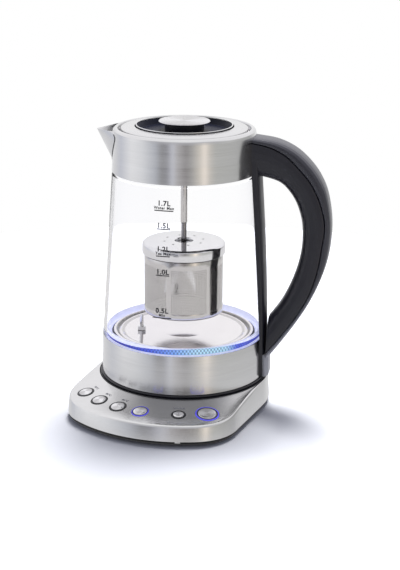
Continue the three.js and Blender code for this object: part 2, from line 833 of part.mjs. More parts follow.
function lidRing() {
  const skirtLow = lidEdgeHeight - lidSkirt;
  return turned([
    [lidHoleRadius, lidCrownHeight - bandSheet],
    [lidRadius - bandSheet, lidEdgeHeight - bandSheet],
    [lidRadius - bandSheet, skirtLow],
    [lidRadius, skirtLow],
    [lidRadius, lidEdgeHeight],
    [lidRadius - bandSheet, lidEdgeHeight + bandSheet / 2],
    [lidHoleRadius, lidCrownHeight],
  ]);
}

function lidInsert() {
  const low = insertFloor - insertSheet;
  const wallFoot = insertRadius - insertBevel;
  return turned([
    [insertBore, low],
    [wallFoot, low],
    [insertRadius, low + insertTop - insertFloor],
    [insertRadius, insertTop],
    [insertRadius - insertWall, insertTop],
    [wallFoot - insertWall, insertFloor],
    [insertBore, insertFloor],
  ]);
}

function lidTrim() {
  const low = insertTop + fitGap;
  return ring(insertRadius - insertWall, insertRadius, low, low + trimThickness, bodySides);
}

function lidPlug() {
  const bore = liftTubeRadius + fitGap + bushWall + fitGap;
  const pocketFloor = insertFloor - insertSheet - fitGap;
  const ringUnder = lidEdgeHeight - bandSheet - fitGap;
  const flangeLow = plugLow + plugNeck;
  return turned([
    [bore, plugLow],
    [plugRadius, plugLow],
    [plugRadius, flangeLow - runGap],
    [plugFlangeRadius, flangeLow],
    [plugFlangeRadius, ringUnder],
    [insertRadius + runGap, ringUnder],
    [insertRadius + runGap, pocketFloor],
    [bore, pocketFloor],
  ]);
}

function lidSeal() {
  const high = lidEdgeHeight - lidSkirt - fitGap;
  return ring(plugFlangeRadius + fitGap, mouthRadius - fitGap, high - lidSealHeight, high, bodySides);
}

function guideBush() {
  const bore = liftTubeRadius + fitGap;
  const body = bore + bushWall;
  const flangeTop = plugLow - fitGap;
  const top = insertFloor - insertSheet - 2 * fitGap;
  return turned([
    [bore, flangeTop - bushFlangeHeight],
    [body + bushFlange, flangeTop - bushFlangeHeight],
    [body + bushFlange, flangeTop],
    [body, flangeTop],
    [body, top],
    [bore, top],
  ], smallSides);
}

// Knob, hub and rod

function knobHub() {
  const socket = liftTubeRadius + fitGap;
  return turned([
    [0, hubTop - hubRoof],
    [socket, hubTop - hubRoof],
    [socket, hubLow],
    [hubRadius - hubBevel, hubLow],
    [hubRadius, hubLow + hubBevel],
    [hubRadius, hubTop],
    [0, hubTop],
  ], midSides);
}

function knobDisc() {
  const low = hubTop + fitGap;
  const top = low + knobThickness;
  return turned([
    [0, low],
    [knobRadius - knobEdge, low],
    [knobRadius, low + knobEdge],
    [knobRadius, top - knobEdge],
    [knobRadius - knobEdge, top],
    [0, top - knobDish],
  ], innerSides);
}

function liftTube() {
  const socketTop = liftTubeLow + spigotLength + fitGap;
  return turned([
    [0, socketTop],
    [spigotRadius + fitGap, socketTop],
    [spigotRadius + fitGap, liftTubeLow],
    [liftTubeRadius, liftTubeLow],
    [liftTubeRadius, liftTubeTop],
    [0, liftTubeTop],
  ], smallSides);
}

function liftRod() {
  const low = basketLidCrown - basketDishDepth + fitGap;
  const shoulder = liftTubeLow - fitGap;
  return turned([
    [0, low],
    [liftRodRadius, low],
    [liftRodRadius, shoulder],
    [spigotRadius, shoulder],
    [spigotRadius, liftTubeLow + spigotLength - fitGap],
    [0, liftTubeLow + spigotLength - fitGap],
  ], smallSides);
}

// Basket lid and basket

function basketLid() {
  const dishFloor = basketLidCrown - basketDishDepth;
  const inner = basketLidRadius - basketSheet;
  const shoulderRadius = basketLidRadius - basketLidRound;
  const shoulder = basketLidCrown - basketLidRise;
  const edge = basketLidCrown - basketLidEdgeDrop;
  let lid = turned([
    [0, dishFloor - basketSheet],
    [basketDishRadius + basketSheet, dishFloor - basketSheet],
    [basketDishRadius + basketSheet, basketLidCrown - 1.2 * basketSheet],
    [shoulderRadius, shoulder - basketSheet],
    [inner, edge - basketSheet / 2],
    [inner, basketLidSkirtLow],
    [basketLidRadius, basketLidSkirtLow],
    [basketLidRadius, edge],
    [shoulderRadius, shoulder],
    [basketDishRadius, basketLidCrown],
    [basketDishRadius, dishFloor],
    [0, dishFloor],
  ], innerSides);
  for (let i = 0; i < drainHoles; i++) {
    const place = turnZ(((i + 1 / 2) / drainHoles) * 2 * Math.PI).multiply(shift(drainCircle, 0, 0));
    lid = lid.subtract(
      drum(drainHoleRadius, shoulder - overrun, basketLidCrown + overrun, 6, place),
    );
  }
  return lid;
}

// Wedge between two angles, to cut one panel's window
function panelWedge(start, end) {
  const reach = basketRadius + overrun;
  const shape = new THREE.Shape();
  shape.moveTo(0, 0);
  const steps = 3;
  for (let i = 0; i <= steps; i++) {
    const angle = THREE.MathUtils.lerp(start, end, i / steps);
    const far = reach / Math.cos((end - start) / steps / 2);
    shape.lineTo(far * Math.cos(angle), far * Math.sin(angle));
  }
  shape.closePath();
  const geometry = new THREE.ExtrudeGeometry(shape, { depth: panelHigh - panelLow, bevelEnabled: false });
  return solidOf(geometry.translate(0, 0, panelLow));
}

function basketFrame() {
  const flangeRadius = basketInner - basketFlange;
  let frame = turned([
    [flangeRadius, basketLow],
    [basketRadius - basketBevel, basketLow],
    [basketRadius, basketLow + basketBevel],
    [basketRadius, basketNeckLow],
    [basketNeckRadius, basketNeckLow],
    [basketNeckRadius, basketNeckLow + basketNeckHeight],
    [basketNeckRadius - basketSheet, basketNeckLow + basketNeckHeight],
    [basketNeckRadius - basketSheet, basketNeckLow - basketSheet],
    [basketInner, basketNeckLow - basketSheet],
    [basketInner, basketLow + basketSheet],
    [flangeRadius, basketLow + basketSheet],
  ], innerSides);
  const pitch = (2 * Math.PI) / panelCount;
  for (let i = 0; i < panelCount; i++) {
    const start = panelTurn + i * pitch + panelStrip / 2;
    frame = frame.subtract(panelWedge(start, start + pitch - panelStrip));
  }
  return frame;
}

// A punched sleeve: open cells between wires, all round
function meshSleeve() {
  const outer = basketInner - 2 * fitGap;
  const inner = outer - meshSheet;
  const low = basketLow + basketSheet + fitGap;
  const high = basketNeckLow - basketSheet - fitGap;
  const columnAngles = [];
  for (let i = 0; i < meshColumns; i++) {
    const pitch = (2 * Math.PI) / meshColumns;
    columnAngles.push(i * pitch, (i + meshWireShare) * pitch);
  }
  const rowHeights = [low];
  const rowPitch = (panelHigh - panelLow) / meshRows;
  for (let i = 0; i < meshRows; i++) {
    const start = panelLow + i * rowPitch;
    rowHeights.push(start + (meshWireShare / 2) * rowPitch, start + (1 - meshWireShare / 2) * rowPitch);
  }
  rowHeights.push(high);
  const columns = columnAngles.length;
  const rows = rowHeights.length - 1;
  const isWire = (i, j) => j >= 0 && j < rows && (j % 2 === 0 || ((i % columns) + columns) % 2 === 0);
  const point = (i, j, radius) => {
    const angle = columnAngles[((i % columns) + columns) % columns];
    return new THREE.Vector3(radius * Math.cos(angle), radius * Math.sin(angle), rowHeights[j]);
  };
  const cellCorners = (i, j, radius) =>
    [[i, j], [i + 1, j], [i + 1, j + 1], [i, j + 1]].map(([m, n]) => point(m, n, radius));
  const corners = [];
  const quad = (a, b, c, d) => corners.push(a, b, c, a, c, d);
  for (let i = 0; i < columns; i++) {
    for (let j = 0; j < rows; j++) {
      if (!isWire(i, j)) continue;
      const [a, b, c, d] = cellCorners(i, j, outer);
      const [e, f, g, h] = cellCorners(i, j, inner);
      quad(a, b, c, d);
      quad(h, g, f, e);
      if (!isWire(i - 1, j)) quad(e, a, d, h);
      if (!isWire(i + 1, j)) quad(b, f, g, c);
      if (!isWire(i, j - 1)) quad(e, f, b, a);
      if (!isWire(i, j + 1)) quad(d, c, g, h);
    }
  }
  return solidOf(new THREE.BufferGeometry().setFromPoints(corners));
}

function basketFloor() {
  const low = basketLow + basketSheet + fitGap;
  const radius = basketInner - meshSheet - 4 * fitGap;
  return drum(radius, low, low + floorSheet, innerSides);
}

// Base

// Steps of the outline along the back, each flat, each corner and the front
const backSteps = 18;
const flatSteps = 4;
const cornerSteps = 4;
const frontSteps = 6;

function baseOutline() {
  const cornerX = baseHalfWidth - baseCornerRadius;
  const cornerY = -Math.sqrt((baseFrontRadius - baseCornerRadius) ** 2 - cornerX ** 2);
  const bend = Math.atan2(-cornerY, cornerX);
  const arc = (x, y, radius, start, end, steps) =>
    new THREE.EllipseCurve(x, y, radius, radius, start, end).getPoints(steps).slice(0, -1);
  const flat = (x, from, to) => {
    const line = new THREE.LineCurve(new THREE.Vector2(x, from), new THREE.Vector2(x, to));
    return line.getPoints(flatSteps).slice(0, -1);
  };
  return [
    ...arc(0, 0, baseHalfWidth, 0, Math.PI, backSteps),
    ...flat(-baseHalfWidth, 0, cornerY),
    ...arc(-cornerX, cornerY, baseCornerRadius, Math.PI, Math.PI + bend, cornerSteps),
    ...arc(0, 0, baseFrontRadius, Math.PI + bend, 2 * Math.PI - bend, frontSteps),
    ...arc(cornerX, cornerY, baseCornerRadius, -bend, 0, cornerSteps),
    ...flat(baseHalfWidth, cornerY, 0),
  ];
}

// Frame of a button: on the panel's surface, with +Z square to it
const buttonMatrix = (angle) =>
  turnZ(angle)
    .multiply(shift(0, -buttonCircle, panelHeight(buttonCircle)))
    .multiply(new THREE.Matrix4().makeRotationX(panelSlope));

const glandWall = coverWallRadius(baseHalfWidth, glandHeight);
const layBack = new THREE.Matrix4().makeRotationX(-Math.PI / 2);
const glandMatrix = shift(0, glandWall, glandHeight).multiply(layBack);
const glandHole = () => drum(glandRadius + fitGap, -glandDepth - overrun, overrun, smallSides, glandMatrix);

// Cover: the sloping top, an edge round that the narrow sides limit, and the wall
function coverProfile(reach) {
  const round = Math.min(coverRound, 0.8 * (reach - seatHoleRadius));
  const bend = panelHeight(reach) - round;
  const topEnd = reach - Math.max(round, baseSheet);
  return [
    [seatHoleRadius, seatTop],
    [reach - round, panelHeight(reach - round)],
    [reach - 0.3 * round, panelHeight(reach) - 0.2 * round],
    [coverWallRadius(reach, bend), bend],
    [reach + baseFlare, coverFoot],
    [reach + baseFlare - baseSheet, coverFoot],
    [coverWallRadius(reach, bend) - baseSheet, bend - baseSheet],
    [topEnd, panelHeight(topEnd) - baseSheet],
    [seatHoleRadius, seatTop - baseSheet],
  ];
}

function baseCover(outline) {
  let cover = sweptRound(coverProfile, outline);
  for (const [, angle, ringRadius] of buttonPlaces) {
    cover = cover.subtract(
      drum(ringRadius + fitGap, -overrun, overrun, buttonSides, buttonMatrix(angle)),
    );
  }
  return cover.subtract(glandHole());
}

function baseTray(outline) {
  const seatOfCover = coverFoot - fitGap;
  const profileAt = (reach) => {
    const lip = reach + baseFlare - fitGap;
    const wall = reach + baseFlare - baseSheet - 2 * runGap;
    return [
      [0, trayLow],
      [lip - trayRound, trayLow],
      [lip - 0.4 * trayRound, trayLow + 0.25 * (seatOfCover - trayLow)],
      [lip, trayLow + 0.75 * (seatOfCover - trayLow)],
      [lip, seatOfCover],
      [wall, seatOfCover],
      [wall, trayUpstand],
      [wall - trayWall, trayUpstand],
      [wall - trayWall, trayFloorTop],
      [0, trayFloorTop],
    ];
  };
  let tray = sweptRound(profileAt, outline).subtract(glandHole());
  for (const [, x, y] of footPlaces) {
    const recess = drum(footRadius + fitGap, -overrun, trayLow + footRecess, smallSides, shift(x, y, 0));
    tray = tray.subtract(recess);
  }
  for (const angle of screwAngles) {
    const place = turnZ(angle).multiply(shift(screwCircle, 0, 0));
    const headTop = trayLow + screwHeadHeight + fitGap;
    const headHole = drum(screwHeadRadius + fitGap, -overrun, headTop, smallSides, place);
    const shankHole = drum(screwRadius + fitGap, -overrun, trayFloorTop + overrun, smallSides, place);
    tray = tray.subtract(headHole.add(shankHole));
  }
  const rooted = trayFloorTop - trayFloor / 2;
  const supportTop = seatLow - fitGap - postFlangeHeight - fitGap;
  tray = tray.add(ring(postRadius, postRadius + postWall, rooted, supportTop, midSides));
  const pegTop = controlBoardTop - boardThickness - fitGap;
  for (const angle of [-controlBoardSpan, 0, controlBoardSpan]) {
    const inset = angle - (Math.sign(angle) * boardPegRadius * 2) / buttonCircle;
    const place = turnZ(inset).multiply(shift(0, -buttonCircle + controlBoardHalfWidth / 2, 0));
    tray = tray.add(drum(boardPegRadius, rooted, pegTop, smallSides, place));
  }
  return tray;
}

function kettleSeat() {
  let seat = ring(postRadius + fitGap, seatHoleRadius - 2 * fitGap, seatLow, seatTop, bodySides);
  for (const angle of screwAngles) {
    const place = turnZ(angle).multiply(shift(screwCircle, 0, 0));
    const postHigh = seatLow + seatThickness / 2;
    const pilotHigh = trayLow + screwHeadHeight + screwLength + fitGap;
    const post = drum(screwPostRadius, trayFloorTop + fitGap, postHigh, smallSides, place);
    const pilot = drum(screwRadius + fitGap, 0, pilotHigh, smallSides, place);
    seat = seat.add(post).subtract(pilot);
  }
  return seat;
}

function connectorPost() {
  const top = seatTop + postHeight;
  const flangeTop = seatLow - fitGap;
  return turned([
    [0, flangeTop - postFlangeHeight],
    [postRadius + postFlange, flangeTop - postFlangeHeight],
    [postRadius + postFlange, flangeTop],
    [postRadius, flangeTop],
    [postRadius, top - postBevel],
    [postRadius - postBevel, top],
    [postSlotOuter, top],
    [postSlotOuter, top - postSlotDepth],
    [postSlotInner, top - postSlotDepth],
    [postSlotInner, top],
    [postPinHole, top],
    [postPinHole, top - postPinDepth],
    [0, top - postPinDepth],
  ], midSides);
}

const pressedReach = stemLength + buttonTravel;
const switchCircle = buttonCircle - pressedReach * Math.sin(panelSlope);
const stemFoot = pressedReach * Math.cos(panelSlope) + stemRadius * Math.sin(panelSlope);
const switchTop = panelHeight(buttonCircle) - stemFoot - fitGap;
const controlBoardTop = switchTop - switchHeight;

function controlBoard() {
  const shape = new THREE.Shape();
  const start = -Math.PI / 2 - controlBoardSpan;
  const end = -Math.PI / 2 + controlBoardSpan;
  shape.absarc(0, 0, buttonCircle + controlBoardHalfWidth, start, end);
  shape.absarc(0, 0, buttonCircle - controlBoardHalfWidth, end, start, true);
  const settings = { depth: boardThickness, bevelEnabled: false, curveSegments: 6 };
  const sheet = new THREE.ExtrudeGeometry(shape, settings);
  let board = solidOf(sheet.translate(0, 0, controlBoardTop - boardThickness));
  const half = switchSize / 2;
  for (const [, angle] of buttonPlaces) {
    const low = new THREE.Vector3(-half, -switchCircle - half, controlBoardTop - boardThickness / 2);
    const high = new THREE.Vector3(half, -switchCircle + half, switchTop);
    board = board.add(block(low, high, turnZ(angle)));
  }
  return board;
}

function cordGland() {
  const flangeLow = baseFlare / 2 + fitGap;
  return turned([
    [0, -glandDepth],
    [glandRadius, -glandDepth],
    [glandRadius, flangeLow],
    [glandRadius + glandFlange, flangeLow],
    [glandRadius + glandFlange, flangeLow + glandFlangeWall],
    [glandBore + glandFlangeWall, glandNose],
    [glandBore, glandNose],
    [glandBore, glandFloor - glandDepth],
    [0, glandFloor - glandDepth],
  ], smallSides, glandMatrix);
}

function footPad(x, y) {
  return drum(footRadius, 0, trayLow + footRecess - fitGap, smallSides, shift(x, y, 0));
}

function baseScrew(angle) {
  const place = turnZ(angle).multiply(shift(screwCircle, 0, trayLow));
  return turned([
    [0, 0],
    [screwHeadRadius, 0],
    [screwHeadRadius, screwHeadHeight],
    [screwRadius, screwHeadHeight],
    [screwRadius, screwHeadHeight + screwLength],
    [0, screwHeadHeight + screwLength],
  ], smallSides, place);
}

function buttonRing(ringRadius, capRadius) {
  return ring(capRadius + fitGap, ringRadius, -ringDepth, ringProud, buttonSides);
}

function buttonBody(capRadius) {
  return turned([
    [0, -stemLength],
    [stemRadius, -stemLength],
    [stemRadius, -capDepth],
    [capRadius, -capDepth],
    [capRadius, capEdge],
    [capRadius * capCrownShare, THREE.MathUtils.lerp(capEdge, capRise, capCrownShare)],
    [0, capRise],
  ], buttonSides);
}

// Assembly

function kettleGroup() {
  const kettle = new THREE.Group();
  const envelope = kettleEnvelope();
  const spine = spineBody(0).subtract(envelope);
  const spineClear = spineBody(fitGap);
  const outerRail = rail(outerRailShares);
  const seamRail = rail(seamRailShares);
  const innerRail = rail(innerRailShares);
  const shell = handleLoft(innerRail, seamRail, shellSectionShares, 0);
  const cover = handleLoft(seamRail, outerRail, coverSectionShares, fitGap);
  const coverFull = cover.subtract(spineClear).add(coverFootPlate());
  const pieces = [
    ["lower_band", lowerBand(), brushedSteel],
    ["bottom_collar", bottomCollar(), blackPlastic],
    ["kettle_coupler", kettleCoupler(), blackPlastic],
    ["control_unit", controlUnit(), blackPlastic],
    ["led_carrier", ledCarrier(), blackPlastic],
    ["led_board", ledBoard(), boardGreen],
    ["light_ring", lightRing(), lightPlastic],
    ["plate_seal", plateSeal(), whiteSilicone],
    ["heating_plate", heatingPlate(), polishedSteel],
    ["heating_element", heatingElement(), brushedSteel],
    ["probe_stem", probeStem(), polishedSteel],
    ["probe_nut", probeNut(), polishedSteel],
    ["glass_body", glassBody(), clearGlass],
    ["upper_seal", upperSeal(), whiteSilicone],
    ["upper_band", upperBand(), brushedSteel],
    ["beak", beak(envelope), brushedSteel],
    ["handle_spine", spine, blackPlastic],
    ["handle_shell", shell.subtract(envelope).subtract(spineClear), blackPlastic],
    ["handle_cover", coverFull.subtract(envelope).subtract(shell), coverPlastic],
    ["lid_ring", lidRing(), brushedSteel],
    ["lid_trim", lidTrim(), polishedSteel],
    ["lid_insert", lidInsert(), blackPlastic],
    ["lid_plug", lidPlug(), blackPlastic],
    ["lid_seal", lidSeal(), whiteSilicone],
    ["guide_bush", guideBush(), whiteSilicone],
    ["knob_hub", knobHub(), blackPlastic],
    ["knob_disc", knobDisc(), polishedSteel],
    ["lift_tube", liftTube(), polishedSteel],
    ["lift_rod", liftRod(), polishedSteel],
    ["basket_lid", basketLid(), polishedSteel],
    ["basket_frame", basketFrame(), polishedSteel],
    ["basket_mesh", meshSleeve(), polishedSteel],
    ["basket_floor", basketFloor(), polishedSteel],
  ];
  for (const piece of pieces) kettle.add(toMesh(...piece));
  kettle.position.z = tableToBand;
  kettle.rotation.z = kettleTurn;
  return kettle;
}

function buttonGroup([name, angle, ringRadius, capRadius]) {
  const arm = new THREE.Group();
  const seat = new THREE.Group();
  arm.rotation.z = angle;
  seat.position.set(0, -buttonCircle, panelHeight(buttonCircle));
  seat.rotation.x = panelSlope;
  const lit = name === "temp_button_4" || name === "power_button";
  const ringName = name.replace("button", "ring");
  seat.add(toMesh(name, buttonBody(capRadius), brushedSteel));
  seat.add(toMesh(ringName, buttonRing(ringRadius, capRadius), lit ? lightPlastic : darkRing));
  arm.add(seat);
  return arm;
}

function baseGroup() {
  const base = new THREE.Group();
  const outline = baseOutline();
  base.add(toMesh("base_cover", baseCover(outline), brushedSteel));
  base.add(toMesh("base_tray", baseTray(outline), blackPlastic));
  base.add(toMesh("kettle_seat", kettleSeat(), blackPlastic));
  base.add(toMesh("connector_post", connectorPost(), blackPlastic));
  base.add(toMesh("control_board", controlBoard(), boardGreen));
  base.add(toMesh("cord_gland", cordGland(), darkRubber));
  for (const [name, x, y] of footPlaces) base.add(toMesh(name, footPad(x, y), darkRubber));
  screwAngles.forEach((angle, i) => {
    base.add(toMesh(`base_screw_${i + 1}`, baseScrew(angle), brushedSteel));
  });
  for (const button of buttonPlaces) base.add(buttonGroup(button));
  return base;
}

const group = new THREE.Group();
group.add(baseGroup(), kettleGroup());

export default group;
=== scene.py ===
# Glass kettle with a hanging tea infuser on a powered base: its looks, its light and its camera.
# Shapes are worked out in millimetres and published in metres. The kettle's pieces are shaped in its
# own frame: handle along +X, beak along -X, heights from the bottom edge of the lower steel band.
import json
import math

import bmesh
import bpy
import numpy as np
from mathutils import Matrix, Vector

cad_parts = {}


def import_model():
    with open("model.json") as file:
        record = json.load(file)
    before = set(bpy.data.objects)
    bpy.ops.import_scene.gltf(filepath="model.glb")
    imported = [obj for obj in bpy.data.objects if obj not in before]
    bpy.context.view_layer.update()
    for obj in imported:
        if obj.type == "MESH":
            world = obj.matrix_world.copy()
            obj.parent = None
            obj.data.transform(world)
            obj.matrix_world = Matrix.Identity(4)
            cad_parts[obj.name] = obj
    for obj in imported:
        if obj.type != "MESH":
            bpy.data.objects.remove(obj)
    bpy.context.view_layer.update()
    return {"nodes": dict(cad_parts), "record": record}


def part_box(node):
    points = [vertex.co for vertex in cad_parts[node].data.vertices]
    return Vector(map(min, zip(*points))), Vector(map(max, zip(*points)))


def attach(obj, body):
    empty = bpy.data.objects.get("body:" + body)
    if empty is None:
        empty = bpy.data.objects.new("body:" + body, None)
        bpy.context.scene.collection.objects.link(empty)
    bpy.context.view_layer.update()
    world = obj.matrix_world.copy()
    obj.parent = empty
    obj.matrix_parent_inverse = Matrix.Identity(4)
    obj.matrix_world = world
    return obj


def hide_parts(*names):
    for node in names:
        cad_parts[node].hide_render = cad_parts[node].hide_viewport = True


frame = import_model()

MM = 0.001  # one millimetre in metres
SAME = 0.002  # points closer than this are one point
FIT_GAP = 0.3  # between a piece and the hole it sits in
OVERRUN = 4  # how far a cutter reaches past what it cuts

# Facets of a full turn
BODY_SIDES = 160
BUTTON_SIDES = 72
SMALL_SIDES = 40
HOLE_SIDES = 20
SEAM_SIDES = 8

# Stance
TABLE_TO_BAND = 30
KETTLE_TURN = math.radians(13.8)
READ_ANGLE = math.radians(50.3)  # half plane in which the outlines of turned pieces are read

# Kettle, from the lower band's bottom edge upwards
LOWER_BAND_HEIGHT = 35
LOWER_BAND_FOOT_RADIUS = 73.4
LOWER_BAND_RADIUS = 72.8
JUG_FOOT_RADIUS = 72.4
JUG_NECK_RADIUS = 63
JUG_CROWN = 0.4
JUG_TOP = 182
UPPER_BAND_RADIUS = 62.4
UPPER_BAND_ROUND = 1.8
RIM_TOP = 220.2
BAND_SHEET = 0.9
ROLL_REACH = 7
ROLL_SHARE = 0.69  # how much of the shoulder's round is left once it is rolled tight

# Lit strip on the light ring's lip
DOT_EDGE = 0.25
DOT_SHEET = 0.12
DOT_MIDDLE = math.radians(-68)
DOT_LEAST_SHARE = 0.3

# Litre marks: height of the bar, figure, word and width of the bar
LITRE_MARKS = [
    (160.6, "1.7L", "Water Max", 16.5),
    (145.0, "1.5L", "", 12),
    (121.9, "1.2L", "Tea Max", 12),
    (105.4, "1.0L", "", 11.6),
    (68.6, "0.5L", "Min", 16.5),
]
MARK_ANGLE = math.radians(-95.2)
FIGURE_SIZE = 5.9
FIGURE_RISE = 1.1
FIGURE_RISE_OVER_WORD = 4.3
WORD_SIZE = 3.4
WORD_RISE = 1.2
BAR_HEIGHT = 0.9
INK_DEPTH = 0.04
INK_LIFT = 0.03
LETTER_WEIGHT_SHARE = 0.034
LETTER_SPACING = 1.12

# Handle
HANDLE_REACH = 67.6
HANDLE_LOW = 16
HANDLE_HEIGHT = 200
HANDLE_HALF_WIDTH = 14.8
HANDLE_STATIONS = 72
SHELL_ROUND = 0.8
COVER_ROUND = 0.7
SEAM_GAP = 0.04
COVER_FOOT_WALL = 2.3
COVER_FOOT_TOP = 20
# Painted light on the handle's cover: full below the first height, none above the second
COVER_PAINTED_LIGHT_BELOW = 8
COVER_DARK_ABOVE = 95
EMBED = 0.35  # how deep a piece that stands on the kettle's wall is let into it
# Rails: share of the reach from the kettle's wall, and share of the height
OUTER_RAIL_SHARES = [
    (-0.06, 0.993), (0.03, 0.991), (0.29, 0.978), (0.52, 0.943), (0.7, 0.891), (0.84, 0.828),
    (0.928, 0.747), (0.964, 0.62), (0.921, 0.492), (0.821, 0.385), (0.663, 0.275), (0.468, 0.172),
    (0.223, 0.061), (0.074, 0),
]
SEAM_RAIL_SHARES = [
    (-0.06, 0.975), (-0.01, 0.971), (0.203, 0.955), (0.407, 0.92), (0.59, 0.861), (0.732, 0.8),
    (0.838, 0.716), (0.884, 0.621), (0.84, 0.526), (0.775, 0.42), (0.665, 0.313), (0.504, 0.219),
    (0.3, 0.124), (0.062, 0.027),
]
INNER_RAIL_SHARES = [
    (-0.06, 0.829), (0.134, 0.819), (0.323, 0.799), (0.435, 0.763), (0.523, 0.7115), (0.578, 0.645),
    (0.589, 0.585), (0.566, 0.505), (0.502, 0.424), (0.397, 0.336), (0.266, 0.256), (0.108, 0.185),
]
# Half cross sections: share of the depth between two rails, and share of the half width
SHELL_SECTION_SHARES = [
    (0, -0.3), (0.03, -0.52), (0.1, -0.72), (0.22, -0.86), (0.38, -0.95), (0.56, -0.995), (0.74, -1),
    (0.9, -0.97), (0.97, -0.945), (1, -0.88),
]
COVER_SECTION_SHARES = [
    (0, -0.88), (0.1, -0.97), (0.35, -1), (0.6, -0.97), (0.82, -0.86), (0.95, -0.62), (1, -0.3),
]

# Spine
SPINE_HALF_WIDTH = 14.4
SPINE_FACE_HALF_WIDTH = 8
SPINE_PROUD = 5.4
SPINE_LOW = -1
SPINE_TOP = 192
SPINE_ROOT_TOP = 207  # it runs on up behind the handle's root
SPINE_STATIONS = 48
SPINE_STEPS = 9
SPINE_ROUND = 1.1
# Share of its height, and how proud its corner and its outer face stand, as shares
SPINE_ROW_SHARES = [(0, 0.03, 0.51), (0.3, 0.27, 0.98), (0.635, 0.43, 1.15), (0.95, 0.43, 1), (1, 0.46, 1)]

# Beak
BEAK_FOOT = 186
BEAK_TOP = 216
BEAK_ROOT_RISE = 2.2  # the open edge rises this much from tip to root
BEAK_PROUD = 15.3
BEAK_WIDTH = 60
BEAK_TIP_ROUND = 2.4
BEAK_BULGE = 1.2
BEAK_EDGE = 0.3
BEAK_STATIONS = 20
BEAK_STEPS = 8
SEAM_RADIUS = 0.55
POUR_WIDTH = 24
POUR_LOW = 200
POUR_HIGH = 214.6
POUR_ROUND = 2
# Height share, reach share and width share, from its foot to its open top
BEAK_ROW_SHARES = [(0, 0, 0.1), (0.26, 0.26, 0.47), (0.6, 0.6, 0.8), (0.9, 0.9, 1), (1, 1, 0.84)]

# Basket
BASKET_SHEET = 0.8
BASKET_RISE = 2.4  # its floor sits this far up in the wall
BASKET_EDGE = 0.25
PANEL_COUNT = 6
PANEL_STRIP = math.radians(7)
PANEL_TURN = math.radians(-102)
PANEL_FOOT_BAND = 5.6
PANEL_NECK_BAND = 8.2
PANEL_EDGE = 0.12
PANEL_STEPS = 12
MESH_PITCH = 1.5
MESH_WIRE_SHARE = 0.56
MESH_SHEET = 0.4
MESH_SET_BACK = 0.2
BASKET_LID_SHARE = 1.036
BASKET_LID_ROUND = 1.4
DRAIN_HOLES = 8
DRAIN_HOLE_RADIUS = 1
DRAIN_CIRCLE = 17.5

# Base
SEAT_HOLE_RADIUS = 76
BASE_HALF_WIDTH = 77.2
BASE_FRONT_RADIUS = 114.9
BASE_CORNER_RADIUS = 40
BASE_FLARE = 1.4
BASE_SHEET = 1
BASE_ROUND = 3.4
PANEL_SLOPE = math.radians(12)
SEAT_TOP = 27.3
COVER_FOOT = 5.3
TAB_WIDTH = 4.6
TAB_DROP = 0.9
TAB_EDGE = 0.15
TAB_ANGLE = math.radians(-68.5)
TRAY_LOW = 1.2
TRAY_ROUND = 4
TRAY_EDGE = 1.2
TRAY_UPSTAND = 10
TRAY_WALL = 2
TRAY_FLOOR = 2.4
RUN_GAP = 0.5
GLAND_RADIUS = 5.5
GLAND_HEIGHT = 12.4
OUTLINE_STEPS = 48
FLAT_STEPS = 10

# Buttons, their legends and the feet
RING_NODES = ["temp_ring_1", "temp_ring_2", "temp_ring_3", "temp_ring_4", "keep_warm_ring", "power_ring"]
LIT_RINGS = ("temp_ring_4", "power_ring")
RING_PROUD = 0.4
LABELS = {"temp_ring_1": "70°C", "temp_ring_2": "80°C", "temp_ring_3": "90°C", "keep_warm_ring": "WARM"}
LABEL_SIZE = 3
LABEL_GAP = 2.2
FOOT_NODES = ["foot_front_left", "foot_front_right", "foot_back_left", "foot_back_right", "foot_centre"]

# Corner radii of what is turned
KETTLE_EDGES = {
    "lower_band": 0.35, "bottom_collar": 0.6, "kettle_coupler": 0.4, "light_ring": 0.4,
    "plate_seal": 0.3, "heating_plate": 0.8, "glass_body": 0.9, "upper_seal": 0.3, "lid_ring": 0.5,
    "lid_trim": 0.15, "lid_insert": 1.2, "lid_plug": 0.8, "lid_seal": 0.5, "guide_bush": 0.3,
    "knob_hub": 0.5, "knob_disc": 0.7, "lift_tube": 0.3, "lift_rod": 0.2,
}
SMALL_TURNED = ("guide_bush", "lift_tube", "lift_rod")
BASKET_FLOOR_EDGE = 0.2
RING_EDGE = 0.3
NUT_EDGE = 0.35
FINE_EDGE = 0.4  # of the buttons, the probe and the connector post
SOFT_EDGE = 0.5  # of the kettle's seat, the feet and the gland

# Surfaces
RELIEF = 0.1  # height of the finest grain
GLASS_RELIEF = 0.5
ROUND_GRAIN_RUN = 1.6  # length that one radian of a brushed round piece counts for
# Painted shade on the base's panel: full within the second radius, none from the first
PANEL_LIGHT_FROM = 113.5
PANEL_DARK_WITHIN = 103
# Painted shade in the heating plate's grooves
PLATE_GROOVE_SHADES = [(3.6, 1.7, 0.25), (8.6, 1.8, 0.72)]  # inset from the rim, half width and tone left
DOT_COLUMNS = 140.0  # waves of the dots to a radian
DOT_ROWS = 1500.0  # and to a metre of height

# Tones
BLACK = (0.0, 0.0, 0.0)
WHITE = (1.0, 1.0, 1.0)
STEEL_TONE = (0.74, 0.74, 0.745)
# Tone of the painted shade on the base's panel
PANEL_PAINTED_SHADE = (0.39, 0.39, 0.395)
# Spun steel: tones between which its painted highlights and its fine rays run
SPUN_DARK = (0.50, 0.49, 0.50)
SPUN_LIGHT = (0.90, 0.90, 0.92)
PLATE_TONE = (0.84, 0.82, 0.825)
GLASS_TONE = (0.975, 0.975, 0.99)
COVER_DARK = (0.03, 0.03, 0.04)
COVER_LIGHT = (0.042, 0.042, 0.054)
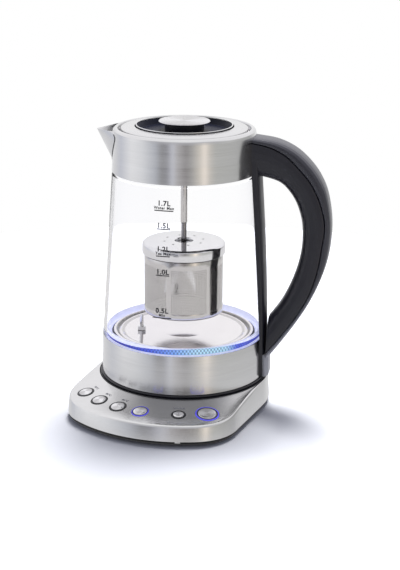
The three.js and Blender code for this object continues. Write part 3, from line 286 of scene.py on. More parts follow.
# Tone of the painted light on the handle's cover
COVER_PAINTED_LIGHT = (0.30, 0.30, 0.33)
MARK_TONE = (0.02, 0.02, 0.024)
LABEL_TONE = (0.34, 0.34, 0.36)
RING_GREY = (0.05, 0.05, 0.06)
INK_BLUE = (0.03, 0.035, 0.20)
FROST = (0.82, 0.82, 0.94)
FROST_LIGHT = (0.90, 0.90, 0.98)
VIOLET = (0.10, 0.09, 0.72)
DEEP_BLUE = (0.07, 0.08, 0.50)
MID_BLUE = (0.10, 0.16, 0.86)
PALE_BLUE = (0.25, 0.48, 1.0)
ICE = (0.52, 0.84, 1.0)
LAVENDER = (0.60, 0.64, 0.97)
PALE_LAVENDER = (0.74, 0.78, 1.0)
# Lit plastic round the kettle's axis, by angle in degrees
GLOW_STOPS = [
    (-180, DEEP_BLUE), (-130, DEEP_BLUE), (-105, MID_BLUE), (-86, PALE_BLUE), (-70, ICE), (-48, ICE),
    (-38, MID_BLUE), (-10, DEEP_BLUE), (60, MID_BLUE), (90, PALE_BLUE), (120, MID_BLUE), (180, DEEP_BLUE),
]
FROST_STOPS = [
    (-180, LAVENDER), (-95, PALE_LAVENDER), (-40, LAVENDER), (90, PALE_LAVENDER), (180, LAVENDER),
]

# Polished steels: tone and roughness
POLISHED = {
    "polished_steel": ((0.80, 0.80, 0.81), 0.09),
    "basket_steel": ((0.66, 0.645, 0.635), 0.14),
    "under_steel": ((0.88, 0.82, 0.79), 0.36),
    "rod_steel": ((0.34, 0.33, 0.34), 0.2),
    # Dark steel of the bead at the beak's root: painted reflection and shade
    "seam_steel": ((0.10, 0.10, 0.105), 0.3),
}
# Moulded pieces: dark and light tone, roughness, grains to a metre, relief and gloss
MOULDED = {
    "black_plastic": ((0.012, 0.012, 0.018), (0.020, 0.0195, 0.028), 0.36),
    "dark_ring": ((0.020, 0.021, 0.026), (0.032, 0.033, 0.04), 0.28),
    "tray_black": ((0.006, 0.006, 0.008), (0.010, 0.010, 0.012), 0.55, 1400.0, 0.15, 0.25),
    "insert_black": ((0.004, 0.005, 0.012), (0.007, 0.008, 0.017), 0.4, 1400.0, 0.15, 0.12),
    "silicone": ((0.62, 0.60, 0.63), (0.70, 0.68, 0.71), 0.5, 700.0, 0.1),
    # Dark grey of the heating plate's seal: painted shade of the gap at the plate's edge
    "seal_grey": ((0.10, 0.10, 0.105), (0.14, 0.14, 0.145), 0.5, 700.0, 0.1),
    "dark_rubber": ((0.014, 0.014, 0.015), (0.024, 0.024, 0.026), 0.7, 900.0, 0.3),
    "board": ((0.012, 0.085, 0.035), (0.018, 0.11, 0.045), 0.45, 500.0, 0.1),
}
# Nodes with another finish than their slot's
KETTLE_FINISH = {
    "plate_seal": "seal_grey", "heating_plate": "plate_steel", "lid_trim": "polished_steel",
    "lid_insert": "insert_black", "knob_disc": "spun_steel", "lift_tube": "basket_steel",
    "lift_rod": "rod_steel",
}

# Studio: tones that the steel mirrors, and the light that falls on the object
ZENITH = (1.05, 1.05, 1.06)
BEHIND_ABOVE = (1.04, 1.03, 1.05)
BEFORE_ABOVE = (0.62, 0.62, 0.65)
UNDER = (0.76, 0.76, 0.775)
FLOOR_DARK = (0.775, 0.785, 0.825)
FLOOR_LIGHT = (0.785, 0.795, 0.835)
FLOOR_MIRRORED = (0.84, 0.83, 0.83)
LIGHT_BEHIND = (0.46, 0.47, 0.54)
LIGHT_BEFORE = (0.20, 0.21, 0.26)
# Tones all round, by degrees from the camera's side towards the right
SURROUND_STOPS = [
    (-180, (0.95, 0.95, 0.95)), (-140, (0.80, 0.80, 0.82)), (-120, (0.68, 0.70, 0.78)),
    (-92, (1.04, 1.04, 1.06)), (-70, (0.92, 0.93, 0.96)), (-46, (0.54, 0.56, 0.62)),
    (-36, (0.27, 0.27, 0.28)), (-27, (0.28, 0.28, 0.31)), (-18, (0.74, 0.75, 0.83)),
    (-11, (0.52, 0.50, 0.50)), (3, (0.25, 0.23, 0.23)), (12, (0.42, 0.41, 0.39)),
    (24, (0.78, 0.72, 0.63)), (32, (1.25, 1.12, 0.98)), (40, (0.72, 0.67, 0.60)),
    (50, (0.54, 0.54, 0.51)), (98, (0.51, 0.51, 0.50)), (125, (0.46, 0.46, 0.46)),
    (150, (0.9, 0.9, 0.9)), (180, (0.95, 0.95, 0.95)),
]
# Lamp and floor, in metres and watts
LAMP_SPOT = (-0.02, 0.67, 1.9)
LAMP_TARGET = (0, 0, 0.1)
LAMP_SIZE = 0.7
LAMP_POWER = 66
FLOOR_RADIUS = 0.62
FLOOR_SIDES = 96
FLOOR_DROP = 0.0001

# Camera, in the kettle's upright frame before the turn of the view
VIEW_TURN = math.radians(23.8)
CAMERA_DISTANCE = 1141.577
CAMERA_HEIGHT = 460.43
CAMERA_PITCH = 0.30033
CAMERA_ROLL = 0.0046024
CLIP_START = 50
CLIP_END = 20000
FOCAL_PIXELS = 1335.32
PICTURE_WIDTH = 400
PICTURE_HEIGHT = 570
AXIS_PIXEL = 183.7  # where the kettle's axis crosses the picture, from the left
SENSOR_LENGTH = 36

KETTLE = Matrix.Translation((0, 0, TABLE_TO_BAND)) @ Matrix.Rotation(KETTLE_TURN, 4, "Z")
UPRIGHT = Matrix()
BODY_OF = {n: body for body, nodes in frame["record"]["behaviour"]["bodies"].items() for n in nodes}
SLOT_OF = {part["node"]: part["material_slot"] for part in frame["record"]["subparts"]}


# Lines and surfaces

def curve(points, count):
    """Smooth line through the points, as evenly spaced points."""
    p = np.array(points, float)
    p = np.vstack([2 * p[0] - p[1], p, 2 * p[-1] - p[-2]])
    dense = []
    for i in range(1, len(p) - 2):
        a, b, c, d = p[i - 1:i + 3]
        for t in np.linspace(0, 1, 24, endpoint=False):
            bend = (2 * a - 5 * b + 4 * c - d) * t + (3 * b - a - 3 * c + d) * t * t
            dense.append(b + 0.5 * t * ((c - a) + bend))
    dense.append(p[-2])
    dense = np.array(dense)
    run = np.concatenate([[0], np.cumsum(np.linalg.norm(np.diff(dense, axis=0), axis=1))])
    want = np.linspace(0, run[-1], count)
    return np.column_stack([np.interp(want, run, dense[:, k]) for k in range(dense.shape[1])])


def soften(line, radius, steps=4):
    """Rounds each corner of a line of pairs that closes on itself, as far as its sides leave room."""
    on_axis = line[0][0] < SAME and line[-1][0] < SAME
    out = []
    for i, point in enumerate(line):
        here = Vector(point)
        before = Vector(line[i - 1]) - here
        after = Vector(line[(i + 1) % len(line)]) - here
        if on_axis and i in (0, len(line) - 1):
            out.append(here)
            continue
        half = max(before.angle(after, math.pi) / 2, 0.2)
        cut = min(radius / math.tan(half), 0.45 * before.length, 0.45 * after.length)
        start = here + before.normalized() * cut
        end = here + after.normalized() * cut
        for t in np.linspace(0, 1, steps + 1):
            out.append(start * (1 - t) ** 2 + here * 2 * t * (1 - t) + end * t * t)
    return [tuple(point) for point in out]


def turns(count):
    return np.linspace(0, 2 * math.pi, count, endpoint=False)


def polar(radius, turn, height):
    return (radius * math.cos(turn), radius * math.sin(turn), height)


def mirrored(half):
    """A line and its mirror image across the second coordinate, end to end."""
    return half + [(x, -y, *rest) for x, y, *rest in reversed(half)]


def ring_line(inner, outer, low, high):
    return [(inner, low), (outer, low), (outer, high), (inner, high)]


def widest(line):
    return max(r for r, z in line)


def highest(line):
    return max(z for r, z in line)


def skin(rings, looped=False, capped=True):
    """Surface over closed rings of points, joined one to the next."""
    mesh = bmesh.new()
    rows = [[mesh.verts.new(point) for point in ring] for ring in rings]
    count = len(rings[0])
    for i in range(len(rows) if looped else len(rows) - 1):
        here, there = rows[i], rows[(i + 1) % len(rows)]
        for k in range(count):
            m = (k + 1) % count
            mesh.faces.new((here[k], here[m], there[m], there[k]))
    if capped and not looped:
        mesh.faces.new(rows[0])
        mesh.faces.new(reversed(rows[-1]))
    return tidy(mesh)


def tidy(mesh):
    """Merges points that coincide and turns every face outwards."""
    bmesh.ops.remove_doubles(mesh, verts=mesh.verts, dist=SAME)
    bmesh.ops.recalc_face_normals(mesh, faces=mesh.faces)
    return mesh


def lathe(line, sides=BODY_SIDES):
    """A line of (radius, height) pairs turned about Z."""
    return skin([[polar(r, t, z) for r, z in line] for t in turns(sides)], looped=True)


def peg(radius, low, high, sides=SMALL_SIDES):
    """Solid cylinder about Z."""
    return lathe(ring_line(0, radius, low, high), sides)


def block(low, high):
    mesh = bmesh.new()
    bmesh.ops.create_cube(mesh, size=1)
    low, high = Vector(low), Vector(high)
    bmesh.ops.scale(mesh, vec=high - low, verts=mesh.verts)
    bmesh.ops.translate(mesh, vec=(low + high) / 2, verts=mesh.verts)
    return mesh


def moved(mesh, place):
    mesh.transform(place)
    return mesh


def joined(*meshes):
    """One mesh of several."""
    whole = bmesh.new()
    for mesh in meshes:
        data = bpy.data.meshes.new("part")
        mesh.to_mesh(data)
        whole.from_mesh(data)
        bpy.data.meshes.remove(data)
        mesh.free()
    return whole


def linked(name, data):
    """A new object in the scene."""
    made = bpy.data.objects.new(name, data)
    bpy.context.scene.collection.objects.link(made)
    return made


def shown(name, mesh, finish=None):
    """A new object of a mesh, with its material."""
    data = bpy.data.meshes.new(name)
    mesh.to_mesh(data)
    mesh.free()
    if finish:
        data.materials.append(finish)
    return linked(name, data)


def applied(made, *others):
    """The mesh of an object with its modifiers, and the objects cleared away."""
    graph = bpy.context.evaluated_depsgraph_get()
    data = bpy.data.meshes.new_from_object(made.evaluated_get(graph))
    mesh = bmesh.new()
    mesh.from_mesh(data)
    bpy.data.meshes.remove(data)
    for used in (made, *others):
        bpy.data.objects.remove(used)
    return mesh


def carved(mesh, *cutters):
    """The mesh with the cutters' bodies taken out of it."""
    target = shown("target", mesh)
    knife = shown("knife", joined(*cutters))
    cut = target.modifiers.new("cut", "BOOLEAN")
    cut.object = knife
    cut.operation = "DIFFERENCE"
    cut.solver = "EXACT"
    return applied(target, knife)


def bevelled(mesh, width, least=math.radians(35)):
    """The mesh with its sharp edges rounded."""
    target = shown("target", mesh)
    bevel = target.modifiers.new("bevel", "BEVEL")
    bevel.width = width
    bevel.segments = 3
    bevel.limit_method = "ANGLE"
    bevel.angle_limit = least
    return applied(target)


# Reading the model

def cad_mesh(node, place):
    """A node's mesh in millimetres, in the frame that place stands for."""
    mesh = bmesh.new()
    mesh.from_mesh(frame["nodes"][node].data)
    return moved(mesh, place.inverted() @ Matrix.Scale(1 / MM, 4))


def own_axis(node):
    """Frame of a node that is turned about an upright axis of its own."""
    low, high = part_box(node)
    centre = (low + high) / 2 / MM
    return Matrix.Translation((centre.x, centre.y, 0))


def button_place(node):
    """Frame of a ring or cap on the sloping panel, square to the panel."""
    points = np.array([v.co for v in frame["nodes"][node].data.vertices]) / MM
    low, high = points.min(axis=0), points.max(axis=0)
    middle = Vector((low + high) / 2)
    turn = math.atan2(middle.x, -middle.y)
    return Matrix.Translation(middle) @ Matrix.Rotation(turn, 4, "Z") @ Matrix.Rotation(PANEL_SLOPE, 4, "X")


def section(node, place=KETTLE, angle=READ_ANGLE):
    """Outline of a turned node as (radius, height) pairs, read in the half plane at an angle."""
    mesh = cad_mesh(node, place)
    points = np.array([v.co for v in mesh.verts])
    reach = np.hypot(points[:, 0], points[:, 1])
    corners = np.arctan2(points[:, 1], points[:, 0])[reach > reach.max() - 5 * SAME]
    ahead = np.mod(corners - angle, 2 * math.pi).min()
    behind = np.mod(angle - corners, 2 * math.pi).min()
    widen = math.cos((ahead - behind) / 2) / math.cos((ahead + behind) / 2)
    along = Vector((math.cos(angle), math.sin(angle), 0))
    across = Vector((-along.y, along.x, 0))
    geom = mesh.verts[:] + mesh.edges[:] + mesh.faces[:]
    bmesh.ops.bisect_plane(
        mesh, geom=geom, plane_co=(0, 0, 0), plane_no=across, clear_inner=True, clear_outer=True)
    ways = {}
    for edge in mesh.edges:
        a, b = sorted((v.co.dot(along) * widen, v.co.z) for v in edge.verts)
        if b[0] <= SAME:
            continue
        if a[0] < 0:
            a = (0, a[1] + (b[1] - a[1]) * a[0] / (a[0] - b[0]))
        a, b = (tuple(round(value, 3) for value in end) for end in (a, b))
        ways.setdefault(a, []).append(b)
        ways.setdefault(b, []).append(a)
    mesh.free()
    ends = [point for point, ahead in ways.items() if len(ahead) == 1]
    line = [min(ends or ways)]
    last = None
    while True:
        ahead = [point for point in ways[line[-1]] if point not in (last, line[-1])]
        if not ahead or ahead[0] == line[0] or len(line) > len(ways):
            break
        last = line[-1]
        line.append(ahead[0])
    return straightened(line)


def straightened(line):
    """The line without points that lie between their neighbours."""
    kept = []
    for i, point in enumerate(line):
        before = Vector(point) - Vector(line[i - 1])
        after = Vector(line[(i + 1) % len(line)]) - Vector(point)
        bends = abs(before.x * after.y - before.y * after.x) > 0.02 * before.length * after.length
        if bends or before.length < SAME and after.length > SAME:
            kept.append(point)
    return kept


# Materials

def node_in(tree, kind, inputs=None, **settings):
    made = tree.nodes.new(kind)
    for key, value in settings.items():
        setattr(made, key, value)
    for key, value in (inputs or {}).items():
        if isinstance(value, bpy.types.NodeSocket):
            tree.links.new(value, made.inputs[key])
        else:
            made.inputs[key].default_value = value
    return made


def maths(tree, operation, first, second=0.0):
    return node_in(tree, "ShaderNodeMath", {0: first, 1: second}, operation=operation).outputs[0]


def product(tree, first, second):
    return maths(tree, "MULTIPLY", first, second)


def weighed(tree, first, second, share):
    """Sum of two values, the first by its share and the second by what is left."""
    return maths(tree, "ADD", product(tree, first, share), product(tree, second, 1 - share))


def distance(tree, x, y):
    return maths(tree, "SQRT", maths(tree, "ADD", product(tree, x, x), product(tree, y, y)))


def spot_in(tree, kind="Object"):
    """The point's own coordinates, in metres, as one socket."""
    return node_in(tree, "ShaderNodeTexCoord").outputs[kind]


def parts_of(tree, vector):
    return node_in(tree, "ShaderNodeSeparateXYZ", {0: vector}).outputs


def around(tree):
    """The point's turn about Z, its distance from Z and its height, as three sockets."""
    x, y, z = parts_of(tree, spot_in(tree))
    return maths(tree, "ARCTAN2", y, x), distance(tree, x, y), z


def vector_of(tree, x, y, z):
    return node_in(tree, "ShaderNodeCombineXYZ", {0: x, 1: y, 2: z}).outputs[0]


def noise(tree, vector, scale, detail=3.0):
    settings = {"Vector": vector, "Scale": scale, "Detail": detail, "Roughness": 0.6}
    return node_in(tree, "ShaderNodeTexNoise", settings).outputs["Fac"]


def spread(tree, value, low=0.0, high=1.0, start=0.3, end=0.7):
    """The value stretched from a noise's usual range to one from low to high."""
    inputs = {"Value": value, "From Min": start, "From Max": end, "To Min": low, "To Max": high}
    return node_in(tree, "ShaderNodeMapRange", inputs).outputs[0]


def mix(tree, share, first, second, **settings):
    """Colour between two, each a tone or a socket, by a share from 0 to 1."""
    ends = {"A": first, "B": second}
    tones = {key: (*end, 1) if isinstance(end, tuple) else end for key, end in ends.items()}
    made = node_in(tree, "ShaderNodeMix", {"Factor": share, **tones}, data_type="RGBA", **settings)
    return made.outputs["Result"]


def bump(tree, height, strength, relief=RELIEF):
    inputs = {"Height": height, "Strength": strength, "Distance": relief * MM}
    return node_in(tree, "ShaderNodeBump", inputs).outputs["Normal"]


def ramp_in(tree, share, stops):
    """Colour by a share of the full turn, from (degrees, tone) pairs that run from -180 to 180."""
    ramp = node_in(tree, "ShaderNodeValToRGB", {0: share})
    elements = ramp.color_ramp.elements
    while len(elements) > 1:
        elements.remove(elements[-1])
    for i, (degrees, tone) in enumerate(stops):
        place = (degrees + 180) / 360
        element = elements[0] if i == 0 else elements.new(place)
        element.position = place
        element.color = (*tone, 1)
    return ramp.outputs["Color"]


def principled(name, settings):
    """A material with its main shader's sockets set, and its node tree and shader."""
    made = bpy.data.materials.new(name)
    made.use_nodes = True
    shader = made.node_tree.nodes["Principled BSDF"]
    for key, value in settings.items():
        shader.inputs[key].default_value = value
    return made, made.node_tree, shader


def dress(tree, shader, tone, roughness=None, normal=None):
    """Links a tone, a roughness and a relief to a shader, each where it is given."""
    for key, value in (("Base Color", tone), ("Roughness", roughness), ("Normal", normal)):
        if value is not None:
            tree.links.new(value, shader.inputs[key])


def dimmed(tone, share):
    return tuple(channel * share for channel in tone)


def round_grain(tree):
    """Coordinates that run slowly round Z and fast with height and radius, so that streaks lie round it."""
    turn, reach, z = around(tree)
    return vector_of(tree, product(tree, turn, ROUND_GRAIN_RUN * MM), reach, z)


def straight_grain(tree):
    """Coordinates that run slowly along X and fast across it."""
    x, y, z = parts_of(tree, spot_in(tree))
    return vector_of(tree, product(tree, x, 0.03), y, z)


def steel(name, grain, roughness, anisotropy, shade=None):
    """Brushed steel: fine lines in its gloss, tone and relief, and faint wider streaks; a shade, where
    given, paints shade into its tone.
    """
    settings = {"Metallic": 1.0, "Anisotropic": anisotropy, "Anisotropic Rotation": 0.25}
    made, tree, shader = principled(name, settings)
    lines = grain(tree)
    both = weighed(tree, noise(tree, lines, 1500.0, 2.0), noise(tree, lines, 260.0), 0.6)
    tone = mix(tree, spread(tree, both), dimmed(STEEL_TONE, 0.92), STEEL_TONE)
    if shade:
        tone = shade(tree, tone)
    gloss = spread(tree, both, roughness - 0.03, roughness + 0.04)
    dress(tree, shader, tone, gloss, bump(tree, both, 0.03))
    way = node_in(tree, "ShaderNodeTangent", direction_type="RADIAL", axis="Z")
    tree.links.new(way.outputs[0], shader.inputs["Tangent"])
    return made


def painted_panel_shade(tree, tone):
    """The tone with painted shade: darker on the right of the panel and near the kettle, standing in for
    the dark surroundings the panel mirrors there.
    """
    turn, reach = around(tree)[:2]
    near = spread(tree, reach, 1.0, 0.0, PANEL_DARK_WITHIN * MM, PANEL_LIGHT_FROM * MM)
    left = spread(tree, turn, 0.0, 1.0, math.radians(-116), math.radians(-92))
    right = spread(tree, turn, 1.0, 0.0, math.radians(-54), math.radians(-34))
    return mix(tree, product(tree, near, product(tree, left, right)), tone, PANEL_PAINTED_SHADE)


def polished(name, tone, roughness):
    """Bright steel with a faint orange peel and slight smears."""
    made, tree, shader = principled(name, {"Metallic": 1.0})
    spot = spot_in(tree)
    smear = noise(tree, spot, 45.0, 4.0)
    shine = mix(tree, spread(tree, smear), dimmed(tone, 0.94), tone)
    peel = bump(tree, noise(tree, spot, 900.0, 2.0), 0.04)
    dress(tree, shader, shine, spread(tree, smear, roughness * 0.7, roughness * 1.4), peel)
    return made


def spun(name, dark, light):
    """Steel turned on a lathe: painted highlights as bright sweeps to two sides, fine rays and fine rings.
    """
    made, tree, shader = principled(name, {"Metallic": 1.0, "Anisotropic": 0.6})
    turn, reach, z = around(tree)
    # Painted highlight: bright sweeps to two sides of the axis
    painted_sweep = maths(tree, "POWER", maths(tree, "ABSOLUTE", maths(tree, "COSINE", turn)), 2.5)
    rays = noise(tree, vector_of(tree, turn, product(tree, reach, 3.0), z), 14.0, 2.0)
    rings = noise(tree, vector_of(tree, reach, 0.0, z), 2200.0, 1.0)
    tone = mix(tree, weighed(tree, painted_sweep, spread(tree, rays), 0.7), dark, light)
    dress(tree, shader, tone, spread(tree, rings, 0.18, 0.3), bump(tree, rings, 0.05))
    return made


def pressed_plate(name, tone, roughness, radius):
    """Polished plate with painted shade in its grooves."""
    made, tree, shader = principled(name, {"Metallic": 1.0})
    reach = around(tree)[1]
    smear = noise(tree, spot_in(tree), 45.0, 4.0)
    left = spread(tree, smear, 0.96, 1.0)
    # Each band darkens the tone as painted shade of a groove
    for inset, half_width, least in PLATE_GROOVE_SHADES:
        off = maths(tree, "ABSOLUTE", maths(tree, "SUBTRACT", reach, (radius - inset) * MM))
        edge = half_width * MM
        left = product(tree, left, spread(tree, off, least, 1.0, edge * 0.4, edge))
    dress(tree, shader, mix(tree, left, BLACK, tone), spread(tree, smear, roughness * 0.8, roughness * 1.2))
    return made


def moulded(name, dark, light, roughness, grain_scale=1400.0, relief=0.15, specular=0.5):
    """Moulded plastic or rubber: fine grain, and a gloss that varies a little where it is handled."""
    made, tree, shader = principled(name, {"Specular IOR Level": specular})
    spot = spot_in(tree)
    grain = noise(tree, spot, grain_scale, 2.0)
    worn = spread(tree, noise(tree, spot, 30.0), roughness - 0.05, roughness + 0.07)
    dress(tree, shader, mix(tree, spread(tree, grain), dark, light), worn, bump(tree, grain, relief))
    return made


def cover_with_painted_light(name, dark, light, painted_light):
    """Satin plastic with painted light: paler towards the handle's lower end, standing in for light from
    the floor below.
    """
    made, tree, shader = principled(name, {"Specular IOR Level": 0.6})
    spot = spot_in(tree)
    grain = noise(tree, spot, 1400.0, 2.0)
    low = spread(tree, parts_of(tree, spot)[2], 1.0, 0.0, COVER_PAINTED_LIGHT_BELOW * MM, COVER_DARK_ABOVE * MM)
    tone = mix(tree, low, mix(tree, spread(tree, grain), dark, light), painted_light)
    dress(tree, shader, tone, spread(tree, grain, 0.28, 0.36), bump(tree, grain, 0.1))
    return made


def glass(name):
    """Clear glass with a very faint waviness."""
    coat = {"Coat Weight": 0.12, "Coat IOR": 1.3}
    body = {"Transmission Weight": 1.0, "IOR": 1.06, "Roughness": 0.0}
    made, tree, shader = principled(name, {**body, **coat})
    x, y, z = parts_of(tree, spot_in(tree))
    waves = noise(tree, vector_of(tree, x, y, product(tree, z, 0.3)), 14.0, 1.0)
    clear = mix(tree, spread(tree, waves), GLASS_TONE, WHITE)
    dress(tree, shader, clear, normal=bump(tree, waves, 0.02, GLASS_RELIEF))
    return made


def dotted(tree):
    """Rows of soft dots round Z."""
    turn, reach, z = around(tree)
    column = maths(tree, "SINE", product(tree, turn, DOT_COLUMNS))
    row = maths(tree, "SINE", product(tree, z, DOT_ROWS))
    return spread(tree, product(tree, column, row), 0.35, 1.0, -0.45, 0.45)


def clouded(tree):
    return spread(tree, noise(tree, spot_in(tree), 300.0), 0.75, 1.0)


def lit_plastic(name, strength, stops, pattern, dull, light):
    """Translucent plastic lit from behind, in tones that change round the kettle's axis."""
    settings = {"Roughness": 0.3, "Emission Strength": strength, "Specular IOR Level": 0.3}
    made, tree, shader = principled(name, settings)
    turn = around(tree)[0]
    glow = ramp_in(tree, maths(tree, "ADD", maths(tree, "DIVIDE", turn, 2 * math.pi), 0.5), stops)
    spot = pattern(tree)
    tree.links.new(mix(tree, 1.0, glow, spot, blend_type="MULTIPLY"), shader.inputs["Emission Color"])
    dress(tree, shader, mix(tree, spot, dull, light))
    return made


def lit_ring(name, strength, tone, dull):
    """Button's ring that glows only along its outer edge."""
    made, tree, shader = principled(name, {"Roughness": 0.3, "Emission Strength": strength})
    x, y = parts_of(tree, spot_in(tree, "Generated"))[:2]
    reach = distance(tree, maths(tree, "SUBTRACT", x, 0.5), maths(tree, "SUBTRACT", y, 0.5))
    edge = spread(tree, reach, 0.0, 1.0, 0.44, 0.465)
    tree.links.new(mix(tree, edge, BLACK, tone), shader.inputs["Emission Color"])
    dress(tree, shader, mix(tree, edge, dull, tone))
    return made


def print_ink(name, tone):
    made, tree, shader = principled(name, {"Roughness": 0.6})
    grain = spread(tree, noise(tree, spot_in(tree), 2500.0))
    dress(tree, shader, mix(tree, grain, tone, dimmed(tone, 1.3)))
    return made


# How each finish is made, and from what
RECIPES = {
    "brushed_steel": (steel, round_grain, 0.20, 0.6),
    # The panel's steel carries painted shade
    "panel_steel": (steel, straight_grain, 0.22, 0.0, painted_panel_shade),
    "spun_steel": (spun, SPUN_DARK, SPUN_LIGHT),
    "plate_steel": (pressed_plate, PLATE_TONE, 0.10, widest(section("heating_plate"))),
    "cover_plastic": (cover_with_painted_light, COVER_DARK, COVER_LIGHT, COVER_PAINTED_LIGHT),
    "clear_glass": (glass,),
    "light_plastic": (lit_plastic, 0.7, FROST_STOPS, clouded, FROST, FROST_LIGHT),
    "dot_glow": (lit_plastic, 0.95, GLOW_STOPS, dotted, INK_BLUE, INK_BLUE),
    "ring_glow": (lit_ring, 0.6, VIOLET, RING_GREY),
    "mark_ink": (print_ink, MARK_TONE),
    "label_ink": (print_ink, LABEL_TONE),
    **{name: (moulded, *values) for name, values in MOULDED.items()},
    **{name: (polished, *values) for name, values in POLISHED.items()},
}
FINISH = {name: make(name, *values) for name, (make, *values) in RECIPES.items()}


# Publishing

def publish(name, mesh, nodes=(), finish=None, body=None, slot=None, place=KETTLE, sharp=math.radians(40)):
    """Makes an object of a mesh shaped in millimetres in place's frame; it stands for the nodes."""
    first = nodes[0] if nodes else None
    slot = slot or SLOT_OF[first]
    piece = shown(name, moved(mesh, Matrix.Scale(MM, 4)), FINISH[finish or slot])
    piece.data.shade_smooth()
    piece.data.set_sharp_from_angle(angle=sharp)
    stand = place.copy()
    stand.translation = place.translation * MM
    piece.matrix_world = stand
    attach(piece, body or BODY_OF[first])
    if nodes:
        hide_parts(*nodes)


def publish_turned(node, radius, sides=BODY_SIDES, place=KETTLE, rise=0, finish=None):
    """Finely turned piece with softened corners, for a turned node."""
    mesh = lathe([(r, z + rise) for r, z in soften(section(node, place), radius)], sides)
    publish(f"{node}_turned", mesh, [node], finish=finish, place=place)


# Kettle body

def wall_by(share):
    """Radius of the kettle's side as one straight line from foot to neck, by a share of the height."""
    return LOWER_BAND_FOOT_RADIUS + (UPPER_BAND_RADIUS - LOWER_BAND_FOOT_RADIUS) * min(share, 1)


def glass_radius(height):
    share = (height - LOWER_BAND_HEIGHT) / (JUG_TOP - LOWER_BAND_HEIGHT)
    cone = JUG_FOOT_RADIUS + (JUG_NECK_RADIUS - JUG_FOOT_RADIUS) * share
    return cone + JUG_CROWN * 4 * share * (1 - share)


def side_at(height):
    """Radius of the kettle's real side."""
    if height < LOWER_BAND_HEIGHT:
        share = max(height, 0) / LOWER_BAND_HEIGHT
        return LOWER_BAND_FOOT_RADIUS + (LOWER_BAND_RADIUS - LOWER_BAND_FOOT_RADIUS) * share
    if height < JUG_TOP:
        return glass_radius(height)
    return UPPER_BAND_RADIUS


def held_off(point):
    """The point, moved out of the kettle's side if it lies inside."""
    x, y, z = point
    least = side_at(z) - EMBED
    if math.hypot(x, y) >= least:
        return point
    return (math.copysign(math.sqrt(max(least ** 2 - y ** 2, 0)), x), y, z)


def upper_band():
    line = []
    for radius, height in section("upper_band"):
        across, down = UPPER_BAND_RADIUS - radius, RIM_TOP - height
        if max(across, down) < ROLL_REACH:
            radius, height = UPPER_BAND_RADIUS - across * ROLL_SHARE, RIM_TOP - down * ROLL_SHARE
        line.append((radius, max(height, JUG_TOP)))
    shell = lathe(soften(line, UPPER_BAND_ROUND, 6))
    half = POUR_WIDTH / 2
    outer, inner = -UPPER_BAND_RADIUS - OVERRUN, -UPPER_BAND_RADIUS + 2 * OVERRUN
    pour = bevelled(block((outer, -half, POUR_LOW), (inner, half, POUR_HIGH)), POUR_ROUND)
    publish("upper_band_turned", carved(shell, pour), ["upper_band"])


def light_dots():
    """Lit strip on the outer face of the light ring's lip, tall in front and low at the sides."""
    line = section("light_ring")
    low = LOWER_BAND_HEIGHT + DOT_EDGE
    lip = max(r for r, z in line if z > low)
    rise = highest(line) - DOT_EDGE - low
    rings = []
    for turn in turns(BODY_SIDES):
        near = max(math.cos(turn - DOT_MIDDLE), 0) ** 3
        high = low + rise * (DOT_LEAST_SHARE + (1 - DOT_LEAST_SHARE) * near)
        rings.append([polar(r, turn, z) for r, z in ring_line(lip + SAME, lip + DOT_SHEET, low, high)])
    publish("light_dots", skin(rings, looped=True), finish="dot_glow", body="kettle", slot="light_plastic")


def lettering(text, size):
    """Flat letters in the XY plane, centred, reading along +X."""
    line = bpy.data.curves.new("lettering", "FONT")
    line.body = text
    line.size = size
    line.align_x = "CENTER"
    line.extrude = INK_DEPTH / 2
    line.offset = LETTER_WEIGHT_SHARE * size
    line.space_character = LETTER_SPACING
    line.resolution_u = 4
    return moved(applied(linked("lettering", line)), Matrix.Translation((0, 0, INK_DEPTH / 2)))


def litre_marks():
    """Printed level marks on the glass: a figure over a bar, three of them with a word."""
    parts = []
    for height, figure, word, bar in LITRE_MARKS:
        rise = height + (FIGURE_RISE_OVER_WORD if word else FIGURE_RISE)
        half = Vector((bar / 2, BAR_HEIGHT / 2, INK_DEPTH / 2))
        middle = Vector((0, height, INK_DEPTH / 2))
        parts.append(moved(lettering(figure, FIGURE_SIZE), Matrix.Translation((0, rise, 0))))
        parts.append(block(middle - half, middle + half))
        if word:
            parts.append(moved(lettering(word, WORD_SIZE), Matrix.Translation((0, height + WORD_RISE, 0))))
    sheet = joined(*parts)
    bmesh.ops.subdivide_edges(sheet, edges=sheet.edges, cuts=1)
    for vert in sheet.verts:
        x, height, depth = vert.co
        radius = glass_radius(height) + INK_LIFT + depth
        vert.co = polar(radius, MARK_ANGLE + x / radius, height)
    publish("litre_marks", sheet, finish="mark_ink", body="kettle", slot="black_plastic")


# Handle

def rail(shares):
    points = []
    for reach, rise in shares:
        height = HANDLE_LOW + rise * HANDLE_HEIGHT
        points.append((wall_by(height / JUG_TOP) + reach * HANDLE_REACH, height))
    return curve(points, HANDLE_STATIONS)


def handle_loft(from_rail, to_rail, shares, gap, radius):
    rings = []
    for start, end in zip(from_rail, to_rail):
        depth = np.linalg.norm(end - start) - gap
        way = (end - start) / np.linalg.norm(end - start)
        flat = [(gap + d * depth, w * HANDLE_HALF_WIDTH) for d, w in mirrored(shares)]
        ring = []
        for along, across in soften(flat, radius, 3):
            x, z = start + way * along
            ring.append(held_off((x, across, z)))
        rings.append(ring)
    return skin(rings)


